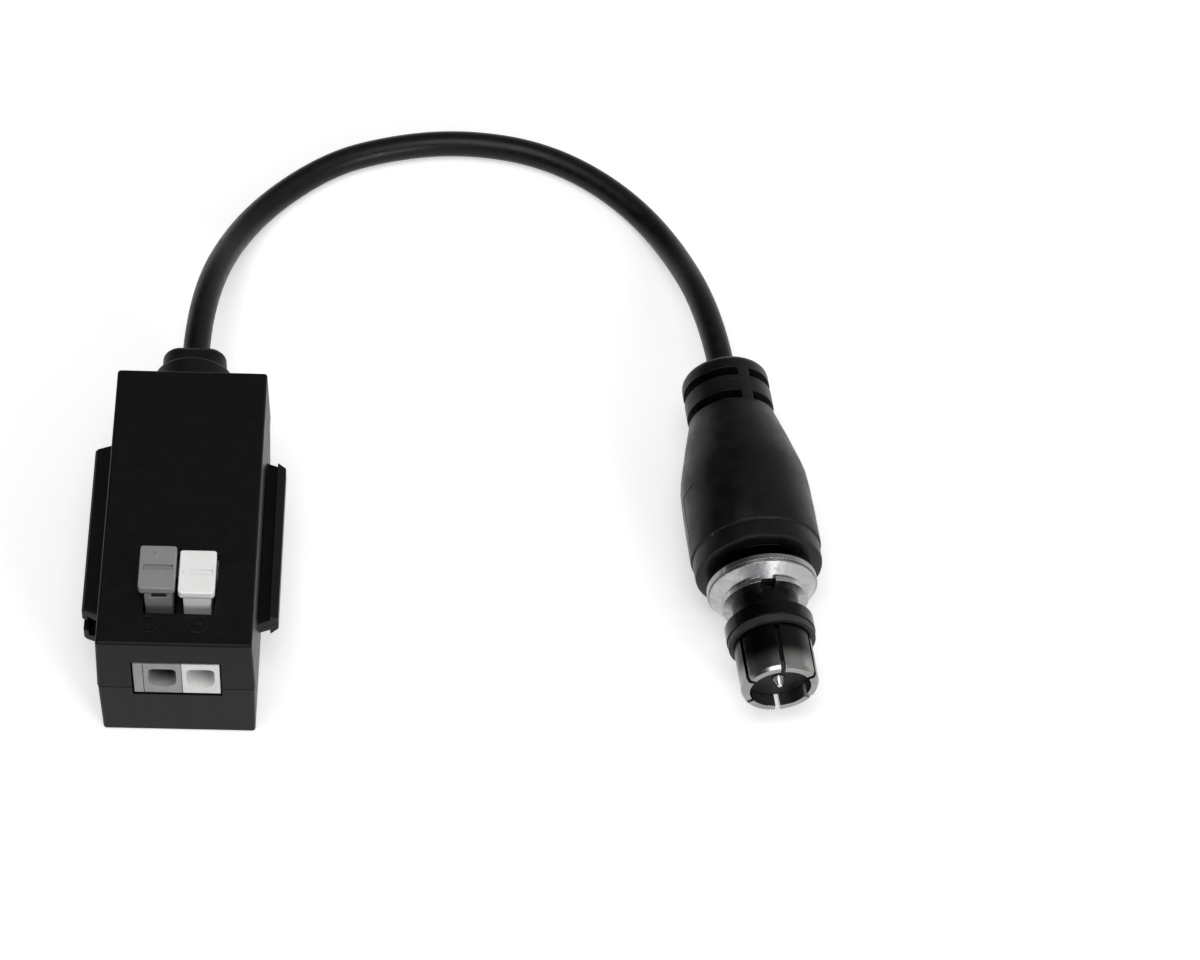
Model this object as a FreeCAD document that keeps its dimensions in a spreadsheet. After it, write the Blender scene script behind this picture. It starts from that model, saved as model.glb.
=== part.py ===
"""Video balun for twisted-pair camera wiring, with a short coaxial lead and a bayonet plug.

Frame: millimetres, +Z up, origin at the bottom centre of the housing. The wire entries face -Y,
the lead leaves the housing on +Y, and the plug lies to the right (+X) with its axis level.
"""
import FreeCAD, Part
import Sketcher
import math
import os

V = FreeCAD.Vector
doc = FreeCAD.newDocument("video_balun")
sheet = doc.addObject("Spreadsheet::Sheet", "Sizes")

# Driving sizes: alias, value, what it is
SIZES = [
    # housing
    ("box_width", 16.5, "housing width at the parting line"),
    ("box_length", 35.8, "housing length at the parting line"),
    ("box_height", 16.5, "housing height"),
    ("part_height", 8.5, "height of the parting line"),
    ("upper_draft", 1.25, "draft of the upper shell, degrees"),
    ("lower_draft", 1.0, "draft of the lower shell, degrees"),
    ("shell_step", 0.05, "lower shell stands back from the upper one"),
    ("wall", 1.3, "housing wall"),
    ("roof", 1.3, "upper shell roof"),
    ("floor_thick", 1.3, "lower shell floor"),
    ("corner_round", 0.35, "round of the vertical corners"),
    ("edge_round", 0.3, "round of the top and bottom edges"),
    ("shell_gap", 0.1, "play between the shells' locating lip and wall"),
    ("lip_thick", 0.55, "locating lip thickness"),
    ("lip_rise", 1.0, "locating lip height above the parting line"),
    ("lip_root", 1.4, "depth of the lip's band below the parting line"),
    ("fit", 0.05, "general seating clearance"),
    # side rails
    ("rail_height", 5.5, "female rail height"),
    ("rail_reach", 2.05, "how far both rails stand out"),
    ("rail_length", 22.3, "rail length at the wall"),
    ("rail_end", 0.75, "end slope of a rail, along the length"),
    ("rail_shift", 0.3, "rail centre behind the housing centre"),
    ("rail_lip", 0.6, "thickness of the female rail's lips"),
    ("slot_half", 1.0, "half height of the female rail's slot"),
    ("bay_root", 1.25, "half height of the female rail's inside at the wall"),
    ("bay_lip", 1.75, "half height of the female rail's inside at the lips"),
    ("rail_edge", 0.3, "outer edge chamfer of the female rail"),
    ("neck_half", 0.875, "half height of the male rail's neck"),
    ("neck_reach", 1.15, "length of the male rail's neck"),
    ("head_half", 1.65, "half height of the male rail's head at its inner edge"),
    ("head_nose", 1.05, "half height of the male rail's head at its outer face"),
    ("male_length", 21.0, "male rail length at the wall"),
    # terminal block
    ("block_left", -4.4, "left face of the terminal block"),
    ("plate_thick", 1.0, "end plate thickness"),
    ("module_width", 3.95, "terminal module width"),
    ("module_wall", 0.95, "closed side wall of a module"),
    ("nose_recess", 0.15, "block front behind the housing's front"),
    ("nose_drop", 9.05, "bottom of the block's nose below the housing's top"),
    ("nose_height", 5.4, "height of the block's nose"),
    ("block_depth", 12.4, "rear face of the terminal block behind the housing's front"),
    ("roof_gap", 0.15, "play between the terminal block and the roof"),
    ("chamber_start", 4.5, "front wall of the lever chamber behind the housing's front"),
    ("chamber_end", 11.8, "rear wall of the lever chamber behind the housing's front"),
    ("chamber_floor", 0.7, "module floor thickness"),
    ("entry_width", 3.0, "wire entry width"),
    ("entry_height", 3.4, "wire entry height"),
    ("entry_rise", 2.8, "wire entry centre above the nose's bottom"),
    ("entry_side", 1.95, "wire entry centre from the module's open side"),
    ("entry_depth", 3.2, "depth of the wire entry's funnel"),
    ("entry_throat", 0.7, "throat size as a share of the mouth"),
    # levers
    ("lever_width", 2.9, "lever stem width"),
    ("window_play", 0.15, "room in the housing's window beside the levers"),
    ("lever_plate_width", 3.8, "push plate width"),
    ("lever_plate_length", 5.4, "push plate length"),
    ("lever_plate_thick", 0.92, "push plate thickness"),
    ("plate_start", 5.4, "front edge of the push plates behind the housing's front"),
    ("lever_stand", 2.6, "top of the grey push plate above the housing's top"),
    ("lever_drop", 0.7, "the white push plate is lower by this"),
    ("grey_plate_side", 1.35, "grey plate centre from the module's open side"),
    ("white_plate_side", 1.45, "white plate centre from the module's open side"),
    ("plate_corner", 0.6, "plan corner radius of the push plate"),
    ("grip_width", 0.6, "grip groove width"),
    ("grip_depth", 0.35, "grip groove depth"),
    ("grip_land", 0.45, "land left beside the grip groove"),
    ("gate_radius", 0.3, "gate mark radius"),
    ("gate_depth", 0.15, "gate mark depth"),
    ("hinge_start", 10.7, "lever hinge behind the housing's front"),
    ("hinge_drop", 0.85, "lever hinge below the top of the terminal block"),
    ("hinge_radius", 0.6, "lever trunnion radius"),
    ("hinge_reach", 0.4, "trunnion length on each side"),
    ("eye_radius", 0.9, "radius of the lever around its hinge"),
    ("foot_start", 5.5, "front face of the lever stem and foot behind the housing's front"),
    ("foot_length", 1.2, "length of the lever foot"),
    ("foot_drop", 2.9, "underside of the lever foot below the hinge"),
    ("arch_drop", 1.3, "underside of the lever between foot and hinge, below the hinge"),
    ("stem_length", 4.4, "length of the lever stem under the plate"),
    ("notch_side", 0.57, "stem left beside the notch under the grey push plate"),
    ("notch_height", 0.95, "notch height"),
    ("notch_depth", 0.35, "notch depth"),
    # clamp springs and contacts
    ("leaf_width", 2.2, "clamp spring width"),
    ("leaf_thick", 0.25, "clamp spring thickness"),
    ("leaf_gap", 0.1, "play between lever foot and clamp spring"),
    ("leaf_bend", 10.2, "rear bend of the clamp spring behind the housing's front"),
    ("contact_width", 1.8, "contact bar width"),
    ("contact_thick", 0.6, "contact bar thickness"),
    ("contact_start", 7.6, "front end of the contact bar behind the housing's front"),
    ("contact_end", 11.3, "rear face of the contact's leg behind the housing's front"),
    ("pin_width", 0.7, "solder pin width"),
    ("pin_reach", 1.1, "solder pin length below the board"),
    ("pin_play", 0.1, "play round a solder pin"),
    # circuit board and its parts
    ("board_level", 4.4, "underside of the circuit board"),
    ("board_thick", 1.2, "circuit board thickness"),
    ("board_play", 0.15, "play between the board and the walls"),
    ("board_short", 1.4, "rear edge of the circuit board before the rear wall"),
    ("ledge_width", 1.2, "width of the board ledges"),
    ("core_outer", 4.75, "toroid outer radius"),
    ("core_inner", 2.4, "toroid inner radius"),
    ("core_height", 4.3, "toroid height"),
    ("core_before", 10.1, "toroid centre before the rear wall"),
    ("wire_build", 0.45, "thickness of the winding"),
    ("turn_count", 16, "turns marked in the winding"),
    ("turn_notch", 0.22, "depth of the valley between turns"),
    ("diode_length", 2.6, "surge diode length"),
    ("diode_width", 1.6, "surge diode width"),
    ("diode_height", 1.1, "surge diode height"),
    ("capacitor_length", 2.0, "capacitor length"),
    ("capacitor_width", 1.25, "capacitor width"),
    ("capacitor_height", 0.9, "capacitor height"),
    ("chip_behind", 1.6, "chip parts stand this far behind the terminal block"),
    ("chip_side", 3.0, "chip parts stand this far from the middle"),
    # strain relief
    ("relief_x", -0.4, "strain relief centre"),
    ("relief_flange", 2.75, "inner flange radius"),
    ("relief_flange_thick", 0.9, "inner flange thickness"),
    ("relief_neck", 2.2, "neck radius in the rear wall"),
    ("relief_collar", 4.42, "collar radius"),
    ("collar_reach", 4.8, "rear end of the collar behind the housing"),
    ("relief_reach", 7.5, "rear end of the relief behind the housing"),
    ("relief_nose_width", 7.0, "nose width"),
    ("relief_nose_height", 5.5, "nose height"),
    ("relief_nose_corner", 2.0, "nose corner radius"),
    ("relief_nose_round", 0.6, "chamfer of the nose's end"),
    ("relief_collar_round", 0.35, "chamfer of the collar's rear edge"),
    # lead
    ("cable_radius", 1.5, "coaxial lead radius"),
    ("core_lead_radius", 0.35, "centre conductor lead radius"),
    ("screen_lead_radius", 0.5, "screen lead radius"),
    ("lead_spread", 0.9, "leads stand this far beside the relief's axis"),
    ("lead_reach", 2.1, "leads run this far before they turn down"),
    ("lead_straight", 9.0, "first and last run of the lead's route"),
    # plug: distances run from the flange's front face toward the lead
    ("plug_x", 63.6, "plug front, across"),
    ("plug_y", -16.0, "plug front, along"),
    ("plug_level", 7.3, "height of the plug's axis"),
    ("plug_yaw", 7.07, "turn of the plug about the vertical, degrees"),
    ("rim_radius", 7.15, "coupling nut rim radius"),
    ("rim_length", 1.9, "length of the rim"),
    ("mouth_radius", 6.3, "mouth radius at the front"),
    ("nut_bore", 4.9, "coupling nut bore radius"),
    ("mouth_depth", 1.3, "depth of the mouth's cone"),
    ("nut_neck", 5.28, "coupling nut neck radius"),
    ("neck_start", 3.1, "start of the neck"),
    ("neck_end", 8.5, "end of the neck"),
    ("shoulder_radius", 6.5, "radius at the shoulder's step"),
    ("shoulder_end", 8.9, "end of the shoulder's steep part"),
    ("knurl_radius", 7.3, "knurl radius"),
    ("knurl_start", 9.65, "start of the knurl"),
    ("knurl_end", 13.45, "end of the knurl"),
    ("knurl_depth", 0.3, "depth of the knurl's grooves"),
    ("knurl_count", 44, "number of ribs"),
    ("nut_back", 15.2, "rear face of the coupling nut"),
    ("nut_back_radius", 7.1, "radius at the rear face"),
    ("nut_cavity", 6.2, "radius of the spring chamber in the nut"),
    ("cavity_start", 9.9, "start of the spring chamber"),
    ("nut_lip", 1.35, "thickness of the nut's rear lip"),
    ("nut_lip_bore", 3.68, "bore radius of the nut's rear lip"),
    ("slot_width", 2.05, "bayonet slot width"),
    ("slot_ease", 0.02, "round ends of a bayonet slot stand out by this"),
    ("slot_end_angle", 69.0, "angle of the detent, degrees from the left side"),
    ("slot_turn", 80.0, "turn of a bayonet slot, degrees"),
    ("slot_end", 7.65, "detent distance from the front"),
    ("slot_start", 6.6, "start of the ramp from the front"),
    ("channel_depth", 0.25, "depth of the entry channel beyond the bore"),
    ("sleeve_radius", 4.17, "contact sleeve radius"),
    ("sleeve_bore", 3.3, "contact sleeve bore radius"),
    ("sleeve_front", 0.45, "front of the contact sleeve"),
    ("sleeve_slot", 0.5, "contact sleeve slot width"),
    ("sleeve_slot_end", 6.0, "end of the sleeve's slots"),
    ("sleeve_slots", 3, "slots cut right across the sleeve"),
    ("gasket_start", 6.2, "front of the sealing gasket"),
    ("gasket_length", 0.8, "gasket thickness"),
    ("gasket_radius", 4.7, "gasket outer radius"),
    ("gasket_play", 0.02, "gasket seating clearance"),
    ("collar_radius", 4.8, "body shoulder radius"),
    ("collar_length", 1.6, "body shoulder length"),
    ("shank_radius", 3.6, "body shank radius"),
    ("ring_start", 11.2, "front of the retaining ring"),
    ("ring_thick", 0.6, "retaining ring thickness"),
    ("ring_radius", 4.7, "retaining ring outer radius"),
    ("ring_groove", 0.35, "depth of the retaining ring's groove"),
    ("ring_gap", 1.6, "opening of the retaining ring"),
    ("washer_front", 13.2, "front of the thrust washer"),
    ("washer_thick", 0.6, "thrust washer thickness"),
    ("washer_radius", 6.0, "thrust washer outer radius"),
    ("washer_play", 0.08, "radial play of washers on the shank"),
    ("spring_thick", 0.25, "spring washer thickness"),
    ("spring_radius", 5.8, "spring washer outer radius"),
    ("body_flange", 5.5, "rear flange radius of the plug body"),
    ("body_flange_length", 1.0, "rear flange length"),
    ("flange_play", 0.1, "play between nut and rear flange"),
    ("stub_radius", 2.4, "crimp stub radius"),
    ("stub_length", 7.0, "crimp stub length"),
    ("insulator_front", 1.9, "front of the insulator"),
    ("insulator_end", 13.0, "rear of the insulator"),
    ("insulator_rear", 2.4, "rear radius of the insulator"),
    ("pin_radius", 0.67, "centre pin radius"),
    ("pin_front", 0.85, "tip of the centre pin"),
    ("pin_tip", 0.9, "length of the pin's tapered tip"),
    ("pin_shank", 1.0, "rear radius of the centre pin"),
    ("pin_step", 6.0, "step of the centre pin"),
    ("pin_end", 18.0, "rear end of the centre pin"),
    ("ferrule_wall", 0.5, "crimp ferrule wall"),
    ("ferrule_length", 8.0, "crimp ferrule length"),
    # boot
    ("boot_front", 15.5, "front face of the boot"),
    ("boot_band", 6.85, "radius of the boot's front band"),
    ("boot_band_end", 17.8, "end of the front band"),
    ("boot_radius", 7.0, "boot radius"),
    ("boot_swell_end", 28.5, "end of the boot's straight part"),
    ("boot_waist", 6.95, "boot radius where the taper starts"),
    ("taper_one", 6.6, "boot radius at the first taper station"),
    ("taper_one_at", 31.3, "first taper station"),
    ("taper_two", 5.65, "boot radius at the second taper station"),
    ("taper_two_at", 33.7, "second taper station"),
    ("tail_radius", 4.86, "radius of the boot's tail"),
    ("tail_start", 35.4, "start of the tail"),
    ("boot_end", 41.7, "rear face of the boot"),
    ("tail_round", 0.8, "round of the tail's end"),
    ("flex_start", 35.5, "front of the first row of flex slots"),
    ("flex_width", 1.05, "flex slot width"),
    ("flex_pitch", 3.15, "distance between the rows of flex slots"),
    ("flex_depth", 1.5, "flex slot depth"),
    ("bridge_width", 1.3, "width of the bridges between flex slots"),
    ("bridge_angle", 24.0, "turn of the bridges from the top, degrees"),
    ("boot_play", 0.05, "play between the boot and the pieces in it"),
]

for row, (alias, value, note) in enumerate(SIZES, start=1):
    sheet.set("A%d" % row, alias)
    sheet.set("B%d" % row, repr(value))
    sheet.set("C%d" % row, note)
    sheet.setAlias("B%d" % row, alias)
doc.recompute()


class Size:
    """A length or angle that keeps the sheet formula it comes from."""

    def __init__(self, value, text):
        self.value = float(value)
        self.text = text

    @staticmethod
    def of(other):
        return other if isinstance(other, Size) else Size(other, "(%r)" % float(other))

    def __add__(self, other):
        other = Size.of(other)
        return Size(self.value + other.value, "(%s + %s)" % (self.text, other.text))

    def __sub__(self, other):
        other = Size.of(other)
        return Size(self.value - other.value, "(%s - %s)" % (self.text, other.text))

    def __mul__(self, other):
        other = Size.of(other)
        return Size(self.value * other.value, "(%s * %s)" % (self.text, other.text))

    def __truediv__(self, other):
        other = Size.of(other)
        return Size(self.value / other.value, "(%s / %s)" % (self.text, other.text))

    def __neg__(self):
        return Size(-self.value, "(0 - %s)" % self.text)

    def __radd__(self, other):
        return Size.of(other) + self

    def __rsub__(self, other):
        return Size.of(other) - self

    def __rmul__(self, other):
        return Size.of(other) * self

    def __rtruediv__(self, other):
        return Size.of(other) / self


class Sheet:
    """Reads the driving sizes by name."""

    def __getattr__(self, name):
        return Size(sheet.get(name), "Sizes." + name)


d = Sheet()


def bind(obj, prop, size):
    """Set a property and tie it to its formula."""
    obj.setExpression(prop, Size.of(size).text)


def place(obj, x=0, y=0, z=0):
    for axis, size in (("x", x), ("y", y), ("z", z)):
        bind(obj, "Placement.Base." + axis, size)


# sketch helpers
def new_body(name):
    body = doc.addObject("PartDesign::Body", name)
    body.Label = name
    return body


def new_sketch(body, role, name, offset=None):
    """A sketch on one of the body's own origin planes, moved along the plane's normal."""
    base = [f for f in body.Origin.OriginFeatures if f.Role == role][0]
    sketch = body.newObject("Sketcher::SketchObject", name)
    sketch.AttachmentSupport = [(base, "")]
    sketch.MapMode = "FlatFace"
    if offset is not None:
        bind(sketch, "AttachmentOffset.Base.z", offset)
    return sketch


def free_sketch(name, axis, offset=0):
    """A sketch outside a body: axis 'y' draws x and z, axis 'z' draws x and y."""
    sketch = doc.addObject("Sketcher::SketchObject", name)
    if axis == "y":
        sketch.Placement = FreeCAD.Placement(V(0, 0, 0), FreeCAD.Rotation(V(1, 0, 0), 90))
        bind(sketch, "Placement.Base.y", offset)
    else:
        bind(sketch, "Placement.Base.z", offset)
    return sketch


def outline(sketch, points):
    """A closed outline through points whose coordinates are sizes."""
    points = [(Size.of(x), Size.of(y)) for x, y in points]
    count = len(points)
    first = sketch.GeometryCount
    rule = sketch.ConstraintCount
    lines = []
    for i in range(count):
        a, b = points[i], points[(i + 1) % count]
        lines.append(Part.LineSegment(V(a[0].value, a[1].value, 0), V(b[0].value, b[1].value, 0)))
    sketch.addGeometry(lines, False)
    rules = []
    for i in range(count):
        rules.append(Sketcher.Constraint("Coincident", first + i, 2, first + (i + 1) % count, 1))
    for i, (x, y) in enumerate(points):
        rules.append(Sketcher.Constraint("DistanceX", -1, 1, first + i, 1, x.value))
        rules.append(Sketcher.Constraint("DistanceY", -1, 1, first + i, 1, y.value))
    sketch.addConstraint(rules)
    for i, (x, y) in enumerate(points):
        bind(sketch, "Constraints[%d]" % (rule + count + 2 * i), x)
        bind(sketch, "Constraints[%d]" % (rule + count + 2 * i + 1), y)


def ring(sketch, x, y, radius):
    """A circle whose centre and radius are sizes."""
    x, y, radius = Size.of(x), Size.of(y), Size.of(radius)
    first = sketch.GeometryCount
    rule = sketch.ConstraintCount
    sketch.addGeometry([Part.Circle(V(x.value, y.value, 0), V(0, 0, 1), radius.value)], False)
    sketch.addConstraint([
        Sketcher.Constraint("DistanceX", -1, 1, first, 3, x.value),
        Sketcher.Constraint("DistanceY", -1, 1, first, 3, y.value),
        Sketcher.Constraint("Radius", first, radius.value)])
    for i, size in enumerate((x, y, radius)):
        bind(sketch, "Constraints[%d]" % (rule + i), size)


def box_outline(sketch, x0, x1, y0, y1):
    outline(sketch, [(x0, y0), (x1, y0), (x1, y1), (x0, y1)])


def rounded_outline(sketch, x0, x1, y0, y1, radius):
    """A rectangle with round corners: four sides tied to sizes and four arcs between them."""
    x0, x1, y0, y1, radius = [Size.of(s) for s in (x0, x1, y0, y1, radius)]
    sides = [((x0 + radius, y0), (x1 - radius, y0)), ((x1, y0 + radius), (x1, y1 - radius)),
             ((x1 - radius, y1), (x0 + radius, y1)), ((x0, y1 - radius), (x0, y0 + radius))]
    centres = [(x1 - radius, y0 + radius), (x1 - radius, y1 - radius),
               (x0 + radius, y1 - radius), (x0 + radius, y0 + radius)]
    rules, sizes = [], []
    for a, b in sides:
        sketch.addGeometry([Part.LineSegment(V(a[0].value, a[1].value, 0),
                                             V(b[0].value, b[1].value, 0))], False)
    for i, (cx, cy) in enumerate(centres):
        full = Part.Circle(V(cx.value, cy.value, 0), V(0, 0, 1), radius.value)
        start = math.radians(-90 + 90 * i)
        sketch.addGeometry([Part.ArcOfCircle(full, start, start + math.pi / 2)], False)
    for i in range(4):
        rules.append(Sketcher.Constraint("Coincident", i, 2, 4 + i, 1))
        rules.append(Sketcher.Constraint("Coincident", 4 + i, 2, (i + 1) % 4, 1))
    for i, ends in enumerate(sides):
        for j, (x, y) in enumerate(ends):
            rules.append(Sketcher.Constraint("DistanceX", -1, 1, i, j + 1, x.value))
            rules.append(Sketcher.Constraint("DistanceY", -1, 1, i, j + 1, y.value))
            sizes += [x, y]
    for i in range(4):
        rules.append(Sketcher.Constraint("Radius", 4 + i, radius.value))
        sizes.append(radius)
    sketch.addConstraint(rules)
    for i, size in enumerate(sizes):
        bind(sketch, "Constraints[%d]" % (8 + i), size)


def pad(body, sketch, length, name, back=False, taper=None, both=False):
    feature = body.newObject("PartDesign::Pad", name)
    feature.Profile = sketch
    feature.Reversed = back
    feature.Midplane = both
    bind(feature, "Length", length)
    if taper is not None:
        bind(feature, "TaperAngle", taper)
    return feature


def pocket(body, sketch, length, name, back=False, both=False):
    feature = body.newObject("PartDesign::Pocket", name)
    feature.Profile = sketch
    feature.Reversed = back
    feature.Midplane = both
    bind(feature, "Length", length)
    return feature


def turn(body, sketch, name, angle=360.0):
    """Turn a half profile about the sketch's vertical axis."""
    feature = body.newObject("PartDesign::Revolution", name)
    feature.Profile = sketch
    feature.ReferenceAxis = (sketch, ["V_Axis"])
    feature.Angle = angle
    return feature


def repeat(body, feature, name, count, angle=360.0):
    """Repeat a feature about the body's own upright axis."""
    pattern = body.newObject("PartDesign::PolarPattern", name)
    pattern.Originals = [feature]
    axis = [f for f in body.Origin.OriginFeatures if f.Role == "Z_Axis"][0]
    pattern.Axis = (axis, [""])
    pattern.Angle = angle
    bind(pattern, "Occurrences", count)
    body.Tip = pattern
    return pattern


def soften(body, base, name, radius, choose, flat=False):
    """Round or chamfer the edges of the last feature that the choice accepts."""
    doc.recompute()
    names = ["Edge%d" % (i + 1) for i, edge in enumerate(base.Shape.Edges) if choose(edge)]
    feature = body.newObject("PartDesign::Chamfer" if flat else "PartDesign::Fillet", name)
    feature.Base = (base, names)
    bind(feature, "Size" if flat else "Radius", radius)
    body.Tip = feature
    return feature


# solid helpers
def block(name, x0, x1, y0, y1, z0, z1):
    """A box between named limits."""
    obj = doc.addObject("Part::Box", name)
    x0, x1, y0, y1, z0, z1 = [Size.of(s) for s in (x0, x1, y0, y1, z0, z1)]
    bind(obj, "Length", x1 - x0)
    bind(obj, "Width", y1 - y0)
    bind(obj, "Height", z1 - z0)
    place(obj, x0, y0, z0)
    return obj


TO_X = FreeCAD.Rotation(V(0, 1, 0), 90)
TO_BACK = FreeCAD.Rotation(V(1, 0, 0), -90)


def rod(name, radius, length, x=0, y=0, z=0, turn_to=None):
    """A cylinder along Z, or turned along X or Y."""
    obj = doc.addObject("Part::Cylinder", name)
    bind(obj, "Radius", radius)
    bind(obj, "Height", length)
    if turn_to is not None:
        obj.Placement = FreeCAD.Placement(V(0, 0, 0), turn_to)
    place(obj, x, y, z)
    return obj


def join(name, parts):
    obj = doc.addObject("Part::MultiFuse", name)
    obj.Shapes = parts
    obj.Refine = True
    return obj


def common(name, parts):
    obj = doc.addObject("Part::MultiCommon", name)
    obj.Shapes = parts
    return obj


def cut(name, base, tools):
    obj = doc.addObject("Part::Cut", name)
    obj.Base = base
    obj.Tool = tools[0] if len(tools) == 1 else join(name + "_tools", tools)
    obj.Refine = True
    return obj


def extrude(name, sketch, length, direction, both=False):
    obj = doc.addObject("Part::Extrusion", name)
    obj.Base = sketch
    obj.DirMode = "Custom"
    obj.Dir = direction
    obj.Solid = True
    obj.Symmetric = both
    bind(obj, "LengthFwd", length)
    return obj


nodes = []


def node(obj, name):
    """Register a finished piece."""
    obj.Label = name
    nodes.append((name, obj))
    return obj


# shared limits
half_w = d.box_width / 2
half_l = d.box_length / 2
inner_w = half_w - d.wall
inner_l = half_l - d.wall
block_right = d.block_left + d.plate_thick + (d.fit + d.module_width) * 2
nose_front = d.nose_recess - half_l
nose_bottom = d.box_height - d.nose_drop
nose_top = nose_bottom + d.nose_height
block_top = d.box_height - d.roof - d.roof_gap
block_back = d.block_depth - half_l
chamber_front = d.chamber_start - half_l
chamber_back = d.chamber_end - half_l
entry_level = nose_bottom + d.entry_rise
plate_front = d.plate_start - half_l
lever_top = d.box_height + d.lever_stand
hinge_y = d.hinge_start - half_l
hinge_level = block_top - d.hinge_drop
foot_front = d.foot_start - half_l
foot_level = hinge_level - d.foot_drop
arch_level = hinge_level - d.arch_drop
leaf_bend_y = d.leaf_bend - half_l
contact_front = d.contact_start - half_l
contact_back = d.contact_end - half_l
board_back = inner_l - d.board_short
core_y = inner_l - d.core_before
chip_y = block_back + d.chip_behind
relief_collar_end = half_l + d.collar_reach
relief_end = half_l + d.relief_reach
board_top = d.board_level + d.board_thick
block_bottom = board_top + d.fit
block_body_front = d.board_play - inner_l
grey_left = d.block_left + d.plate_thick + d.fit
white_left = grey_left + d.module_width + d.fit
chamber_bottom = block_bottom + d.chamber_floor
plate_back = plate_front + d.lever_plate_length


# housing shells
def rail_half(name, points, length):
    """Half of a side rail: its section run along the housing, with sloping ends."""
    section = free_sketch(name + "_section", "y")
    outline(section, points)
    bar = extrude(name + "_bar", section, length + 2, V(0, 1, 0), both=True)
    bind(bar, "Placement.Base.y", d.rail_shift)
    return bar


def rail_plan(name, side, length):
    """The plan of a rail: long at the wall, shorter at its outer face."""
    plan = free_sketch(name + "_plan", "z")
    wall_x = half_w * side
    root_x = (half_w - 0.5) * side
    out_x = (half_w + d.rail_reach + 0.01) * side
    a, b = length / 2, length / 2 - d.rail_end
    points = [(root_x, d.rail_shift - a), (wall_x, d.rail_shift - a), (out_x, d.rail_shift - b),
              (out_x, d.rail_shift + b), (wall_x, d.rail_shift + a), (root_x, d.rail_shift + a)]
    outline(plan, points if side > 0 else points[::-1])
    return extrude(name + "_prism", plan, d.box_height, V(0, 0, 1))


def female_points(up):
    """Section of one jaw of the female rail, above (up = 1) or below the parting line."""
    mid = d.part_height
    root_x, out_x = 0.5 - half_w, -half_w - d.rail_reach
    lip_x = out_x + d.rail_lip
    top = mid + d.rail_height / 2 * up
    return [(root_x, top), (root_x, mid + d.bay_root * up), (-half_w, mid + d.bay_root * up),
            (lip_x, mid + d.bay_lip * up), (lip_x, mid + d.slot_half * up),
            (out_x, mid + d.slot_half * up), (out_x, top - d.rail_edge * up),
            (out_x + d.rail_edge, top)]


def male_points(up):
    """Section of one half of the male rail: a neck and a head with a sloping flank."""
    mid = d.part_height
    root_x, out_x = half_w - 0.5, half_w + d.rail_reach
    head_x = half_w + d.neck_reach
    return [(root_x, mid), (out_x, mid), (out_x, mid + d.head_nose * up),
            (head_x, mid + d.head_half * up), (head_x, mid + d.neck_half * up),
            (root_x, mid + d.neck_half * up)]


def rails(prefix, up):
    female = common(prefix + "_female_rail", [
        rail_half(prefix + "_female", female_points(up), d.rail_length),
        rail_plan(prefix + "_female", -1, d.rail_length)])
    male = common(prefix + "_male_rail", [
        rail_half(prefix + "_male", male_points(up), d.male_length),
        rail_plan(prefix + "_male", 1, d.male_length)])
    return [female, male]


def shell_moulding(name, up):
    """One drafted shell with rounded outer edges and its cavity."""
    body = new_body(name)
    step = 0 if up else d.shell_step
    start = new_sketch(body, "XY_Plane", name + "_outline", d.part_height)
    box_outline(start, step - half_w, half_w - step, step - half_l, half_l - step)
    height = d.box_height - d.part_height if up else d.part_height
    draft = -d.upper_draft if up else -d.lower_draft
    solid = pad(body, start, height, name + "_pad", back=not up, taper=draft)
    far = d.box_height.value if up else 0.0
    upright = soften(body, solid, name + "_corners", d.corner_round,
                     lambda e: e.BoundBox.ZLength > 1.0)
    rounded = soften(body, upright, name + "_edges", d.edge_round,
                     lambda e: abs(e.BoundBox.ZMin - far) < 1e-4 and abs(e.BoundBox.ZMax - far) < 1e-4)
    hollow = new_sketch(body, "XY_Plane", name + "_cavity", d.part_height)
    box_outline(hollow, -inner_w, inner_w, -inner_l, inner_l)
    depth = d.box_height - d.part_height - d.roof if up else d.part_height - d.floor_thick
    pocket(body, hollow, depth, name + "_hollow", back=up)
    return body


def nose_window(name):
    """The opening for the terminal block's nose, through the front wall."""
    return block(name, d.block_left - d.fit, block_right + d.fit,
                 -half_l - 1, d.fit - inner_l, nose_bottom - d.fit, nose_top + d.fit)


def relief_hole(name):
    return rod(name, d.relief_neck + d.fit, d.wall + 1, d.relief_x, inner_l - 0.5, d.part_height,
               TO_BACK)


upper = cut("upper_shell_final", join("upper_shell_joined", [shell_moulding("upper_moulding", True)]
                                      + rails("upper", 1)), [
    nose_window("upper_nose_window"),
    relief_hole("upper_relief_hole"),
    # the white push plate dips into the window when pressed, the grey one stays above the roof
    block("lever_window", grey_left + d.fit - d.window_play,
          white_left + d.white_plate_side + d.lever_plate_width / 2 + d.window_play,
          chamber_front - 0.4, chamber_back - 0.1, d.box_height - d.roof - 1, d.box_height + 1)])
node(upper, "upper_shell")

# the lower shell adds the board ledges and the locating lip
lip_band = block("lip_band", -inner_w - 0.3, inner_w + 0.3, -inner_l - 0.3, inner_l + 0.3,
                 d.part_height - d.lip_root, d.part_height)
lip_rise = block("lip_rise_ring", d.shell_gap - inner_w, inner_w - d.shell_gap,
                 d.shell_gap - inner_l, inner_l - d.shell_gap,
                 d.part_height - 0.2, d.part_height + d.lip_rise)
lip_inner = d.shell_gap + d.lip_thick
lip_hollow = block("lip_hollow", lip_inner - inner_w, inner_w - lip_inner,
                   lip_inner - inner_l, inner_l - lip_inner,
                   d.part_height - d.lip_root - 1, d.part_height + d.lip_rise + 1)
lip_front_gap = block("lip_front_gap", d.block_left - 0.4, block_right + 0.4,
                      -inner_l - 0.01, -inner_l + 1.5,
                      d.part_height - d.lip_root - 1, d.part_height + d.lip_rise + 1)
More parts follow.
